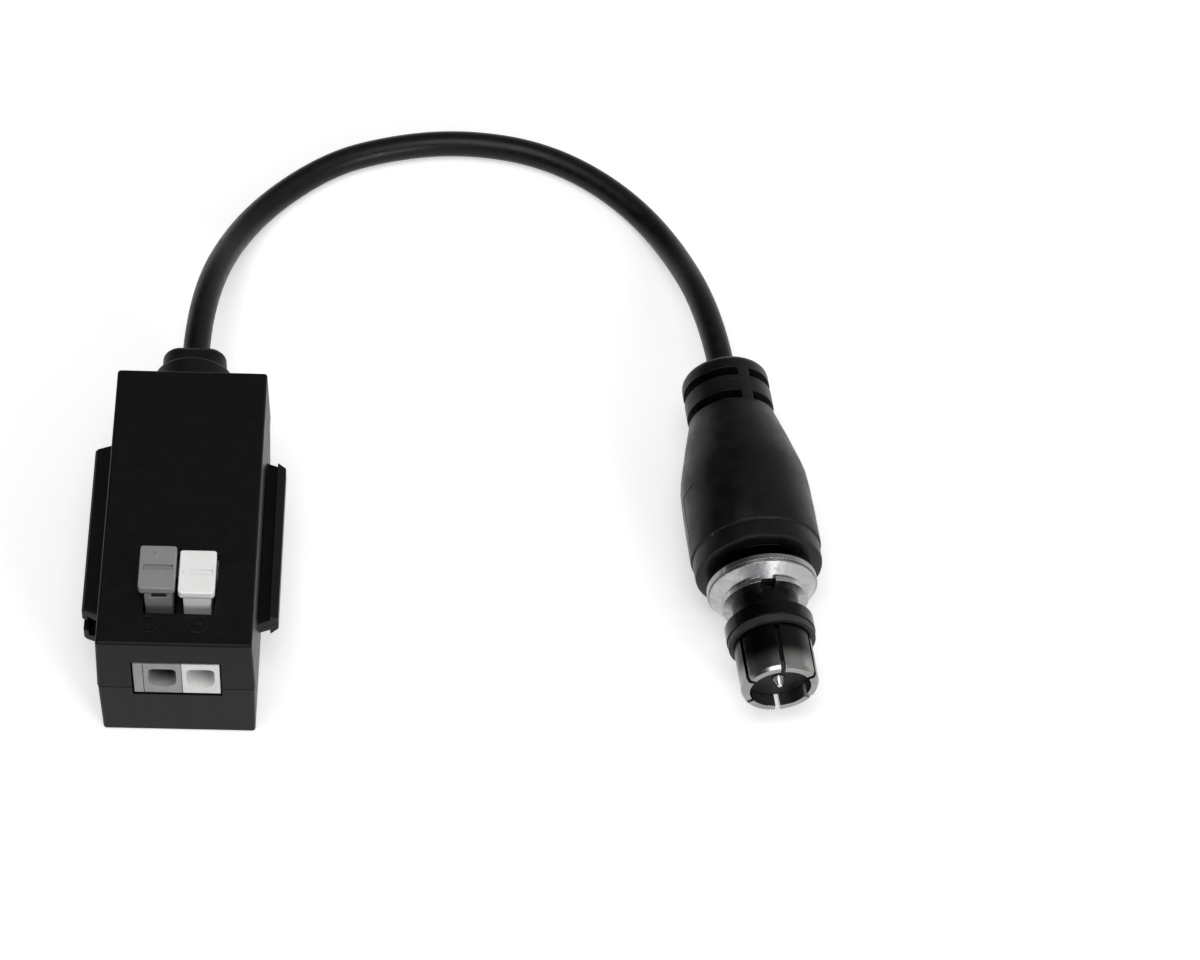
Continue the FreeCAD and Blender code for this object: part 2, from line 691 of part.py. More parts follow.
lip_back_gap = block("lip_back_gap", d.relief_x - d.relief_flange - 0.3,
                     d.relief_x + d.relief_flange + 0.3, inner_l - 1.5, inner_l + 0.01,
                     d.part_height - d.lip_root - 1, d.part_height + d.lip_rise + 1)
lip = cut("locating_lip", join("lip_solid", [lip_band, lip_rise]),
          [lip_hollow, lip_front_gap, lip_back_gap])
ledge_front = block_body_front
ledges = [block("ledge_" + tag, x0, x1, ledge_front, board_back, d.floor_thick - 0.5, d.board_level)
          for tag, x0, x1 in (("left", -inner_w - 0.3, d.ledge_width - inner_w),
                              ("right", inner_w - d.ledge_width, inner_w + 0.3))]
lower = cut("lower_shell_final", join("lower_shell_joined", [shell_moulding("lower_moulding", False),
                                                             lip] + ledges + rails("lower", -1)), [
    nose_window("lower_nose_window"),
    relief_hole("lower_relief_hole")])
node(lower, "lower_shell")


# terminal block
def block_profile(sketch):
    """Side view of the terminal block, along the housing and up."""
    outline(sketch, [(nose_front, nose_bottom), (block_body_front, nose_bottom),
                     (block_body_front, block_bottom), (block_back, block_bottom),
                     (block_back, block_top), (block_body_front, block_top),
                     (block_body_front, nose_top), (nose_front, nose_top)])


def entry_outline(sketch, x, scale):
    """Wire entry: flat top with cut corners and a rounded floor."""
    w, h = d.entry_width / 2 * scale, d.entry_height / 2 * scale
    z = entry_level
    outline(sketch, [(x - w, z - h * 0.45), (x - w * 0.55, z - h * 0.9), (x, z - h),
                     (x + w * 0.55, z - h * 0.9), (x + w, z - h * 0.45), (x + w, z + h * 0.6),
                     (x + w * 0.6, z + h), (x - w * 0.6, z + h), (x - w, z + h * 0.6)])


def module(name, left):
    """A wire module: solid front with a funnel, lever chamber open to the left."""
    body = new_body(name + "_moulding")
    side = new_sketch(body, "YZ_Plane", name + "_side", left)
    block_profile(side)
    pad(body, side, d.module_width, name + "_pad")
    room = new_sketch(body, "YZ_Plane", name + "_room", left)
    box_outline(room, chamber_front, chamber_back, chamber_bottom, block_top + 1)
    pocket(body, room, d.module_width - d.module_wall, name + "_chamber", back=True)
    mouth = new_sketch(body, "XZ_Plane", name + "_mouth", -nose_front)
    entry_outline(mouth, left + d.entry_side, Size.of(1))
    throat = new_sketch(body, "XZ_Plane", name + "_throat", -(nose_front + d.entry_depth))
    entry_outline(throat, left + d.entry_side, d.entry_throat)
    funnel = body.newObject("PartDesign::SubtractiveLoft", name + "_funnel")
    funnel.Profile = mouth
    funnel.Sections = [throat]
    funnel.Ruled = True
    passage = new_sketch(body, "XZ_Plane", name + "_passage", -(nose_front + d.entry_depth))
    entry_outline(passage, left + d.entry_side, d.entry_throat)
    pocket(body, passage, chamber_front - nose_front - d.entry_depth + 0.2, name + "_bore")
    bearing = rod(name + "_bearing", d.hinge_radius + d.fit, d.module_width,
                  left, hinge_y, hinge_level, TO_X)
    pin_x = left + d.entry_side
    half_pin = d.pin_width / 2 + d.pin_play
    leg_y = contact_back - d.contact_thick / 2
    slot = block(name + "_pin_slot", pin_x - half_pin, pin_x + half_pin, leg_y - half_pin,
                 leg_y + half_pin, block_bottom - 1, chamber_bottom + 0.5)
    return cut(name + "_final", body, [bearing, slot])


node(module("grey_module", grey_left), "grey_terminal_module")
node(module("white_module", white_left), "white_terminal_module")

end_plate = new_body("end_plate_moulding")
plate_side = new_sketch(end_plate, "YZ_Plane", "end_plate_side", d.block_left)
block_profile(plate_side)
pad(end_plate, plate_side, d.plate_thick, "end_plate_pad")
node(cut("end_plate_final", end_plate, [
    rod("end_plate_bearing", d.hinge_radius + d.fit, d.hinge_reach + d.fit * 3,
        d.block_left + d.plate_thick - d.hinge_reach - d.fit * 2, hinge_y, hinge_level, TO_X)]),
    "terminal_end_plate")


def lever(name, left, plate_side_x, drop, notch):
    """A push lever: plate, stem, foot and a hinge eye with trunnions."""
    x0 = left + d.fit
    top = lever_top - drop
    under = top - d.lever_plate_thick
    body = new_body(name + "_moulding")
    side = new_sketch(body, "YZ_Plane", name + "_side", x0)
    back = foot_front + d.stem_length
    outline(side, [(foot_front, under + 0.1), (foot_front, foot_level),
                   (foot_front + d.foot_length, foot_level),
                   (foot_front + d.foot_length, arch_level),
                   (hinge_y - d.eye_radius * 1.5, arch_level),
                   (hinge_y, hinge_level - d.eye_radius),
                   (hinge_y, hinge_level + d.eye_radius),
                   (back, hinge_level + d.eye_radius), (back, under + 0.1)])
    pad(body, side, d.lever_width, name + "_stem")
    plate = new_sketch(body, "XY_Plane", name + "_plate_plan", under)
    mid = left + plate_side_x
    w = d.lever_plate_width / 2
    box_outline(plate, mid - w, mid + w, plate_front, plate_back)
    plate_pad = pad(body, plate, d.lever_plate_thick, name + "_plate")
    under_value, thick = under.value, d.lever_plate_thick.value
    edges = [mid.value - w.value, mid.value + w.value]
    rounded = soften(body, plate_pad, name + "_plate_corners", d.plate_corner,
                     lambda e: abs(e.BoundBox.ZMin - under_value) < 1e-3
                     and abs(e.BoundBox.ZLength - thick) < 1e-3
                     and e.BoundBox.XLength < 1e-3 and e.BoundBox.YLength < 1e-3
                     and min(abs(e.BoundBox.XMin - x) for x in edges) < 1e-3)
    grip_y = (plate_front + plate_back) / 2
    tools = [block(name + "_grip", mid - w - 1, mid + w - d.grip_land, grip_y - d.grip_width / 2,
                   grip_y + d.grip_width / 2, top - d.grip_depth, top + 1),
             rod(name + "_gate", d.gate_radius, d.gate_depth + 1, mid,
                 plate_back - d.lever_plate_length / 6, top - d.gate_depth)]
    if notch:
        tools.append(block(name + "_notch", x0 + d.notch_side, x0 + d.lever_width - d.notch_side,
                           foot_front - 1, foot_front + d.notch_depth, under - d.notch_height, under))
    eye = rod(name + "_eye", d.eye_radius, d.lever_width, x0, hinge_y, hinge_level, TO_X)
    trunnion = rod(name + "_trunnion", d.hinge_radius, d.lever_width + d.hinge_reach * 2,
                   x0 - d.hinge_reach, hinge_y, hinge_level, TO_X)
    return cut(name + "_final", join(name + "_joined", [body, eye, trunnion]), tools)


node(lever("grey", grey_left, d.grey_plate_side, Size.of(0), True), "grey_lever")
node(lever("white", white_left, d.white_plate_side, d.lever_drop, False), "white_lever")


def clamp_spring(name, left):
    """A leaf that stands on the module floor and meets the lever foot."""
    body = new_body(name)
    mid = left + d.fit + d.lever_width / 2
    side = new_sketch(body, "YZ_Plane", name + "_side", mid - d.leaf_width / 2)
    th = d.leaf_thick
    floor_z = chamber_bottom + d.fit
    tip_z = foot_level - d.leaf_gap
    tip_y = foot_front + 0.2
    bend = leaf_bend_y
    outline(side, [(tip_y, floor_z), (bend - 0.6, floor_z), (bend, floor_z + 0.6),
                   (bend, floor_z + 1.3), (tip_y + 0.8, tip_z), (tip_y, tip_z),
                   (tip_y, tip_z - th), (tip_y + 0.7, tip_z - th),
                   (bend - th, floor_z + 1.2), (bend - th, floor_z + 0.7),
                   (bend - 0.7, floor_z + th), (tip_y, floor_z + th)])
    pad(body, side, d.leaf_width, name + "_leaf")
    return body


node(clamp_spring("grey_clamp", grey_left), "grey_clamp_spring")
node(clamp_spring("white_clamp", white_left), "white_clamp_spring")


def contact(name, left):
    """A contact bar over the wire, with a leg and a solder pin through the board."""
    body = new_body(name)
    mid = left + d.fit + d.lever_width / 2
    side = new_sketch(body, "YZ_Plane", name + "_side", mid - d.contact_width / 2)
    th = d.contact_thick
    bar_z = foot_level
    floor_z = chamber_bottom + d.fit
    outline(side, [(contact_front, bar_z), (contact_back - th, bar_z),
                   (contact_back - th, floor_z), (contact_back, floor_z),
                   (contact_back, bar_z + th), (contact_front, bar_z + th)])
    pad(body, side, d.contact_width, name + "_bar")
    pin = new_sketch(body, "XY_Plane", name + "_pin", floor_z + 0.1)
    px, py = left + d.entry_side, contact_back - th / 2
    box_outline(pin, px - d.pin_width / 2, px + d.pin_width / 2, py - th / 2, py + th / 2)
    pad(body, pin, floor_z + 0.1 - d.board_level + d.pin_reach, name + "_solder_pin", back=True)
    return body


node(contact("grey_contact_bar", grey_left), "grey_contact")
node(contact("white_contact_bar", white_left), "white_contact")


# circuit board and its parts
def pin_hole(name, left):
    half_pin = d.pin_width / 2 + d.pin_play
    px, py = left + d.entry_side, contact_back - d.contact_thick / 2
    return block(name, px - half_pin, px + half_pin, py - half_pin, py + half_pin,
                 d.board_level - 1, board_top + 1)


board = block("board_blank", d.board_play - inner_w, inner_w - d.board_play,
              block_body_front, board_back, d.board_level, board_top)
node(cut("board_final", board, [pin_hole("grey_pin_hole", grey_left),
                                pin_hole("white_pin_hole", white_left)]), "circuit_board")

core = new_body("core")
core_section = new_sketch(core, "XZ_Plane", "core_section")
core_low = board_top + d.wire_build + d.fit * 2
box_outline(core_section, d.core_inner, d.core_outer, core_low, core_low + d.core_height)
turn(core, core_section, "core_ring")
place(core, 0, core_y, 0)
node(core, "toroid_core")

winding = new_body("winding")
wind_section = new_sketch(winding, "XZ_Plane", "winding_section")
box_outline(wind_section, d.core_inner - d.wire_build, d.core_outer + d.wire_build,
            core_low - d.wire_build, core_low + d.core_height + d.wire_build)
box_outline(wind_section, d.core_inner - d.fit / 2, d.core_outer + d.fit / 2,
            core_low - d.fit / 2, core_low + d.core_height + d.fit / 2)
turn(winding, wind_section, "winding_sheath", 330.0)
valley = new_sketch(winding, "XY_Plane", "winding_valley", core_low - d.wire_build - 1)
wind_r = d.core_outer + d.wire_build
outline(valley, [(wind_r + 0.5, -0.45 - d.turn_notch), (wind_r + 0.5, 0.45 + d.turn_notch),
                 (wind_r - d.turn_notch, 0)])
valley_cut = pocket(winding, valley, d.core_height + d.wire_build * 2 + 2, "winding_notch", back=True)
repeat(winding, valley_cut, "winding_turns", d.turn_count)
place(winding, 0, core_y, 0)
node(winding, "toroid_winding")

node(block("diode", -d.chip_side - d.diode_length / 2, d.diode_length / 2 - d.chip_side,
           chip_y - d.diode_width / 2, chip_y + d.diode_width / 2,
           board_top + 0.02, board_top + 0.02 + d.diode_height), "surge_diode")
node(block("capacitor", d.chip_side - d.capacitor_length / 2, d.chip_side + d.capacitor_length / 2,
           chip_y - d.capacitor_width / 2, chip_y + d.capacitor_width / 2,
           board_top + 0.02, board_top + 0.02 + d.capacitor_height), "chip_capacitor")

# strain relief
relief = new_body("relief")
relief.Placement = FreeCAD.Placement(V(0, 0, 0), FreeCAD.Rotation(V(0, 1, 1), 180))
place(relief, d.relief_x, 0, d.part_height)
relief_section = new_sketch(relief, "XZ_Plane", "relief_section")
flange_front = inner_l - d.fit - d.relief_flange_thick
collar_front = half_l + d.fit
outline(relief_section, [(0, flange_front), (d.relief_flange, flange_front),
                         (d.relief_flange, inner_l - d.fit), (d.relief_neck, inner_l - d.fit),
                         (d.relief_neck, collar_front), (d.relief_collar, collar_front),
                         (d.relief_collar, relief_collar_end - d.relief_collar_round),
                         (d.relief_collar - d.relief_collar_round, relief_collar_end),
                         (0, relief_collar_end)])
turn(relief, relief_section, "relief_turned")
nose = new_sketch(relief, "XY_Plane", "relief_nose_section", relief_collar_end - 0.2)
nw, nh = d.relief_nose_width / 2, d.relief_nose_height / 2
rounded_outline(nose, -nw, nw, -nh, nh, d.relief_nose_corner)
nose_pad = pad(relief, nose, relief_end - relief_collar_end + 0.2, "relief_nose")
nose_end = relief_end.value
soften(relief, nose_pad, "relief_nose_end", d.relief_nose_round,
       lambda e: abs(e.BoundBox.ZMin - nose_end) < 1e-4 and abs(e.BoundBox.ZMax - nose_end) < 1e-4,
       flat=True)
node(relief, "strain_relief")


# lead
def tube_path(points):
    """Straight runs joined by tangent arcs, each as large as its two runs allow."""
    edges, radii = [], []
    here = points[0]
    for before, at, after in zip(points, points[1:], points[2:]):
        way_in, way_out = (at - before), (after - at)
        run = min(way_in.Length, way_out.Length) * 0.45
        way_in.normalize()
        way_out.normalize()
        start, end = at - way_in * run, at + way_out * run
        half = way_in.getAngle(way_out) / 2
        radius = run / math.tan(half)
        middle = way_out - way_in
        middle.normalize()
        centre = at + middle * (radius / math.cos(half))
        edges.append(Part.LineSegment(here, start).toShape())
        edges.append(Part.Arc(start, centre - middle * radius, end).toShape())
        radii.append(radius)
        here = end
    edges.append(Part.LineSegment(here, points[-1]).toShape())
    return Part.Wire(edges), radii


def tube(name, points, radius):
    """A round tube along the path, with its bend radii and its volume printed."""
    path, radii = tube_path(points)
    tangent = points[1] - points[0]
    profile = Part.Wire([Part.Circle(points[0], tangent, radius).toShape()])
    solid = path.makePipeShell([profile], True, True)
    expected = math.pi * radius * radius * path.Length
    print("%s radii %s length %.1f volume %.2f expected %.2f" % (
        name, ["%.1f" % r for r in radii], path.Length, solid.Volume, expected))
    obj = doc.addObject("Part::Feature", name)
    obj.Shape = solid
    return obj


yaw = math.radians(d.plug_yaw.value)
rearward = V(-math.sin(yaw), math.cos(yaw), 0)
plug_front = V(d.plug_x.value, d.plug_y.value, d.plug_level.value)
boot_exit = plug_front + rearward * d.boot_end.value
relief_exit = V(d.relief_x.value, relief_end.value, d.part_height.value)
table = d.cable_radius.value

# the lead drops from the relief to the table, bows to the rear and rises into the boot
straight = d.lead_straight.value
cable_route = [relief_exit, relief_exit + V(0, straight, 0), V(3.6, 51.1, table),
               V(12.4, 59.9, table), V(20.7, 63.1, table), V(29.2, 64.2, table),
               V(38.3, 62.6, table), V(46.3, 57.6, table), V(52.7, 50.0, table),
               boot_exit + rearward * straight, boot_exit]
node(tube("lead", cable_route, d.cable_radius.value), "coax_cable")

lead_y = inner_l.value - d.fit.value - d.relief_flange_thick.value
board_z = board_top.value
for lead_name, side, radius in (("cable_centre_lead", -1, d.core_lead_radius.value),
                                ("cable_screen_lead", 1, d.screen_lead_radius.value)):
    lead_x = d.relief_x.value + side * d.lead_spread.value
    start = V(lead_x, lead_y, d.part_height.value)
    corner = start + V(0, -d.lead_reach.value, 0)
    node(tube(lead_name + "_wire", [start, corner, V(corner.x, corner.y, board_z)], radius), lead_name)


# plug pieces
def on_plug(obj):
    """Lay a piece made along +Z on the plug's axis, its +Y up."""
    facing = FreeCAD.Rotation(V(0, 0, 1), d.plug_yaw.value) * FreeCAD.Rotation(V(0, 1, 1), 180)
    obj.Placement = FreeCAD.Placement(V(0, 0, 0), facing)
    place(obj, d.plug_x, d.plug_y, d.plug_level)
    return obj


def turned(name, points):
    """A turned body from its half section: radius and distance from the front."""
    body = new_body(name)
    section = new_sketch(body, "XZ_Plane", name + "_section")
    outline(section, points)
    turn(body, section, name + "_turned")
    return body


# plug body: slotted contact sleeve, shoulder, shank with a ring groove, flange and crimp stub
collar_start = d.gasket_start + d.gasket_length
collar_stop = collar_start + d.collar_length
flange_at = d.nut_back + d.flange_play
stub_start = flange_at + d.body_flange_length
insulator_radius = d.sleeve_bore - d.fit
rear_bore = d.insulator_rear + d.fit
stub_bore = d.stub_radius - 0.5
insulator_step = collar_start + 0.4
plug_body = turned("plug_body_turned", [
    (d.sleeve_bore, d.sleeve_front), (d.sleeve_radius - 0.2, d.sleeve_front),
    (d.sleeve_radius, d.sleeve_front + 0.4), (d.sleeve_radius, collar_start),
    (d.collar_radius, collar_start), (d.collar_radius, collar_stop),
    (d.shank_radius, collar_stop), (d.shank_radius, d.ring_start),
    (d.shank_radius - d.ring_groove, d.ring_start),
    (d.shank_radius - d.ring_groove, d.ring_start + d.ring_thick),
    (d.shank_radius, d.ring_start + d.ring_thick), (d.shank_radius, flange_at),
    (d.body_flange, flange_at), (d.body_flange, stub_start), (d.stub_radius, stub_start),
    (d.stub_radius, stub_start + d.stub_length), (stub_bore, stub_start + d.stub_length),
    (stub_bore, d.insulator_end + d.fit), (rear_bore, d.insulator_end + d.fit),
    (rear_bore, insulator_step + d.fit), (d.sleeve_bore, insulator_step + d.fit)])
finger = new_sketch(plug_body, "XY_Plane", "sleeve_slot_plan", d.sleeve_front - 0.5)
box_outline(finger, -d.sleeve_slot / 2, d.sleeve_slot / 2, -d.sleeve_radius - 1, d.sleeve_radius + 1)
finger_cut = pocket(plug_body, finger, d.sleeve_slot_end - d.sleeve_front + 0.5, "sleeve_slot_cut",
                    back=True)
repeat(plug_body, finger_cut, "sleeve_fingers", d.sleeve_slots,
       180.0 - 180.0 / d.sleeve_slots.value)
node(on_plug(plug_body), "plug_body")

node(on_plug(turned("insulator_turned", [
    (d.pin_radius + d.fit, d.insulator_front), (insulator_radius, d.insulator_front),
    (insulator_radius, insulator_step), (d.insulator_rear, insulator_step),
    (d.insulator_rear, d.insulator_end), (d.pin_shank + d.fit, d.insulator_end),
    (d.pin_shank + d.fit, d.pin_step - d.fit), (d.pin_radius + d.fit, d.pin_step - d.fit)])),
    "plug_insulator")

node(on_plug(turned("pin_turned", [
    (0, d.pin_front), (d.pin_radius * 0.35, d.pin_front), (d.pin_radius, d.pin_front + d.pin_tip),
    (d.pin_radius, d.pin_step), (d.pin_shank, d.pin_step), (d.pin_shank, d.pin_end),
    (0, d.pin_end)])), "centre_pin")

node(on_plug(turned("gasket_turned", [
    (d.sleeve_radius + d.gasket_play, d.gasket_start),
    (d.gasket_radius, d.gasket_start),
    (d.gasket_radius, collar_start - d.gasket_play),
    (d.sleeve_radius + d.gasket_play, collar_start - d.gasket_play)])), "sealing_gasket")

snap = new_body("retaining_ring_body")
snap_plan = new_sketch(snap, "XY_Plane", "retaining_ring_plan", d.ring_start + 0.02)
ring(snap_plan, 0, 0, d.ring_radius)
ring(snap_plan, 0, 0, d.shank_radius - d.ring_groove + 0.02)
pad(snap, snap_plan, d.ring_thick - 0.04, "retaining_ring_pad")
snap_gap = new_sketch(snap, "XY_Plane", "retaining_ring_opening", d.ring_start - 0.5)
box_outline(snap_gap, -d.ring_gap / 2, d.ring_gap / 2, 0, d.ring_radius + 1)
pocket(snap, snap_gap, d.ring_thick + 1, "retaining_ring_gap", back=True)
node(on_plug(snap), "retaining_ring")

# the spring washer is a cone between the retaining ring and the thrust washer
washer_bore = d.shank_radius + d.washer_play
spring_front = d.ring_start + d.ring_thick + 0.02
spring_back = d.washer_front - 0.02
node(on_plug(turned("spring_washer_turned", [
    (washer_bore, spring_front), (washer_bore + 0.5, spring_front),
    (d.spring_radius, spring_back - d.spring_thick), (d.spring_radius, spring_back),
    (d.spring_radius - 0.4, spring_back), (washer_bore, spring_front + d.spring_thick)])),
    "spring_washer")

node(on_plug(turned("thrust_washer_turned", [
    (washer_bore, d.washer_front), (d.washer_radius, d.washer_front),
    (d.washer_radius, d.washer_front + d.washer_thick),
    (washer_bore, d.washer_front + d.washer_thick)])), "thrust_washer")

# coupling nut: rim, neck, knurl and spring chamber in one turned profile
lip_front = d.nut_back - d.nut_lip
nut = turned("nut_turned", [
    (d.mouth_radius, 0), (d.rim_radius - 0.25, 0), (d.rim_radius, 0.25),
    (d.rim_radius, d.rim_length - 0.3), (d.rim_radius - 0.45, d.rim_length),
    (d.nut_neck + 0.55, d.neck_start - 0.35), (d.nut_neck, d.neck_start + 0.15),
    (d.nut_neck, d.neck_end), (d.shoulder_radius, d.shoulder_end),
    (d.knurl_radius, d.knurl_start - 0.05), (d.knurl_radius, d.nut_back - 0.5),
    (d.nut_back_radius, d.nut_back - 0.08), (d.nut_back_radius - 0.2, d.nut_back),
    (d.nut_lip_bore, d.nut_back), (d.nut_lip_bore, lip_front), (d.nut_cavity, lip_front),
    (d.nut_cavity, d.cavity_start), (d.nut_bore, d.cavity_start),
    (d.nut_bore, d.mouth_depth), (d.mouth_radius - 0.35, 0.3)])
knurl_plan = new_sketch(nut, "XY_Plane", "knurl_groove_plan", d.knurl_start)
half_groove = math.pi / d.knurl_count * d.knurl_radius * 0.52
outline(knurl_plan, [(d.knurl_radius + 0.4, -half_groove * 1.6), (d.knurl_radius + 0.4, half_groove * 1.6),
                     (d.knurl_radius - d.knurl_depth, half_groove * 0.45),
                     (d.knurl_radius - d.knurl_depth, -half_groove * 0.45)])
knurl_cut = pocket(nut, knurl_plan, d.knurl_end - d.knurl_start, "knurl_groove", back=True)
repeat(nut, knurl_cut, "knurl", d.knurl_count)


def bayonet_slot(name, turn_angle):
    """One helical cam slot with its round detent and its entry channel from the front."""
    pitch = (d.slot_end.value - d.slot_start.value) * 360.0 / d.slot_turn.value
    inner, outer = d.nut_bore.value - 1.2, d.nut_neck.value + 1.2
    width = d.slot_width.value
    start = d.slot_end_angle.value + turn_angle
    helix = Part.makeHelix(pitch, d.slot_end.value - d.slot_start.value, outer)
    profile = Part.makePolygon([V(inner, 0, -width / 2), V(outer, 0, -width / 2),
                                V(outer, 0, width / 2), V(inner, 0, width / 2),
                                V(inner, 0, -width / 2)])
    ramp = Part.Wire(helix.Edges).makePipeShell([profile], True, True)
    ramp.translate(V(0, 0, d.slot_start.value))
    ramp.rotate(V(0, 0, 0), V(0, 0, 1), start - d.slot_turn.value)
    reach = outer - inner
    tools = [ramp]
    for angle, level in ((start, d.slot_end.value), (start - d.slot_turn.value, d.slot_start.value)):
        radial = V(math.cos(math.radians(angle)), math.sin(math.radians(angle)), 0)
        tools.append(Part.makeCylinder(width / 2 + d.slot_ease.value, reach,
                                       radial * inner + V(0, 0, level), radial))
    channel = Part.makeBox(d.nut_bore.value + d.channel_depth.value - inner, width,
                           d.slot_start.value + 1.0, V(inner, -width / 2, -1.0))
    channel.rotate(V(0, 0, 0), V(0, 0, 1), start - d.slot_turn.value)
    tools.append(channel)
    obj = doc.addObject("Part::Feature", name)
    obj.Shape = tools[0].multiFuse(tools[1:])
    return obj


nut_final = cut("coupling_nut_final", nut, [bayonet_slot("bayonet_slot_one", 0.0),
                                            bayonet_slot("bayonet_slot_two", 180.0)])
node(on_plug(nut_final), "coupling_nut")

# crimp ferrule and boot
ferrule_bore = d.stub_radius + d.fit
ferrule_outer = ferrule_bore + d.ferrule_wall
ferrule_start = stub_start + d.fit
node(on_plug(turned("ferrule_turned", [
    (ferrule_bore, ferrule_start), (ferrule_outer, ferrule_start),
    (ferrule_outer, ferrule_start + d.ferrule_length),
    (ferrule_bore, ferrule_start + d.ferrule_length)])), "crimp_ferrule")

room_radius = d.body_flange + d.boot_play
room_end = stub_start + d.boot_play
core_radius = ferrule_outer + d.boot_play
core_end = ferrule_start + d.ferrule_length + d.boot_play
boot = turned("boot_turned", [
    (room_radius, d.boot_front), (d.boot_band - 0.3, d.boot_front), (d.boot_band, d.boot_front + 0.3),
    (d.boot_band, d.boot_band_end), (d.boot_radius, d.boot_band_end + 0.15),
    (d.boot_radius, d.boot_swell_end - 2.5), (d.boot_waist, d.boot_swell_end),
    (d.boot_waist - 0.13, (d.boot_swell_end + d.taper_one_at) / 2),
    (d.taper_one, d.taper_one_at), ((d.taper_one + d.taper_two) / 2 + 0.08,
                                    (d.taper_one_at + d.taper_two_at) / 2),
    (d.taper_two, d.taper_two_at), (d.tail_radius, d.tail_start),
    (d.tail_radius, d.boot_end - d.tail_round), (d.tail_radius - d.tail_round * 0.3,
                                                 d.boot_end - d.tail_round * 0.3),
    (d.tail_radius - d.tail_round, d.boot_end), (0, d.boot_end), (0, core_end),
    (core_radius, core_end), (core_radius, room_end), (room_radius, room_end)])


def flex_row(name, start):
    """A ring of flex slots, left whole at two opposite bridges."""
    outer = rod(name + "_outer", d.tail_radius + 1, d.flex_width, 0, 0, start)
    inner = rod(name + "_inner", d.tail_radius - d.flex_depth, d.flex_width + 2, 0, 0, start - 1)
    bridge = doc.addObject("Part::Box", name + "_bridge")
    reach = (d.tail_radius + 2) * 2
    bind(bridge, "Length", d.bridge_width)
    bind(bridge, "Width", reach)
    bind(bridge, "Height", d.flex_width + 2)
    angle = math.radians(d.bridge_angle.value)
    turn_by = FreeCAD.Rotation(V(0, 0, 1), d.bridge_angle.value)
    corner = turn_by.multVec(V(-d.bridge_width.value / 2, -reach.value / 2, 0))
    bridge.Placement = FreeCAD.Placement(corner + V(0, 0, start.value - 1), turn_by)
    return cut(name, outer, [inner, bridge])


boot_final = cut("boot_final", boot, [flex_row("flex_row_one", d.flex_start),
                                      flex_row("flex_row_two", d.flex_start + d.flex_pitch)])
node(on_plug(boot_final), "plug_boot")

# checks and export
doc.recompute()
bad = [o.Name for o in doc.Objects if "Invalid" in o.State or "Error" in o.State]
if bad:
    raise RuntimeError("failed objects: " + ", ".join(bad))
for name, obj in nodes:
    shape = obj.Shape
    if shape.isNull() or not shape.isValid() or shape.Volume <= 0:
        raise RuntimeError("bad shape: " + name)
    if len(shape.Solids) != 1:
        raise RuntimeError("%s has %d solids" % (name, len(shape.Solids)))
os.makedirs("parts", exist_ok=True)
for name, obj in nodes:
    obj.Shape.exportStep("parts/" + name + ".step")
print("nodes", len(nodes))
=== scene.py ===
"""Looks, light and camera for a video balun with a short lead and a bayonet plug.

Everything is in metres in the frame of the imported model: +Z is up, the wire entries face -Y, the
lead leaves the housing on +Y and the plug lies to the right with its axis level.
"""
import logging
import math
from collections.abc import Callable, Iterable, Iterator, Sequence
from contextlib import contextmanager
from dataclasses import dataclass, field
from enum import Enum

import bmesh
import bpy
from mathutils import Euler, Matrix, Vector


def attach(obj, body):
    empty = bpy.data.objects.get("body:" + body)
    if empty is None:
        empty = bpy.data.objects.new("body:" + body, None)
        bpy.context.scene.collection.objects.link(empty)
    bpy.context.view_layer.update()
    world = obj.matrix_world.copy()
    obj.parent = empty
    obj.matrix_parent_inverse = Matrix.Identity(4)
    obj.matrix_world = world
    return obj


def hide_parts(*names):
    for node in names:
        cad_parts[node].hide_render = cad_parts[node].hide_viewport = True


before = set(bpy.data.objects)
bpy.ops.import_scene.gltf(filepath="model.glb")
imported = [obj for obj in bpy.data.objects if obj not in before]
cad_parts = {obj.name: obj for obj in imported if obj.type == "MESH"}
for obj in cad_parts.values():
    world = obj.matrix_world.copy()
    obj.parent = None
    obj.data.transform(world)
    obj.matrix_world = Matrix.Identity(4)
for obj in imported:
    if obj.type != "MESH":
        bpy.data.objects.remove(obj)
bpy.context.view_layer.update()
LOG = logging.getLogger("video_balun")
MM = 0.001

Colour = tuple[float, float, float]
Point = tuple[float, float, float]
Section = list[tuple[float, float]]
Socket = bpy.types.NodeSocket


class Body(Enum):
    """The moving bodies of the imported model."""

    HOUSING = "housing"
    GREY_LEVER = "grey_lever"
    WHITE_LEVER = "white_lever"
    THRUST_WASHER = "thrust_washer"
    COUPLING_NUT = "coupling_nut"


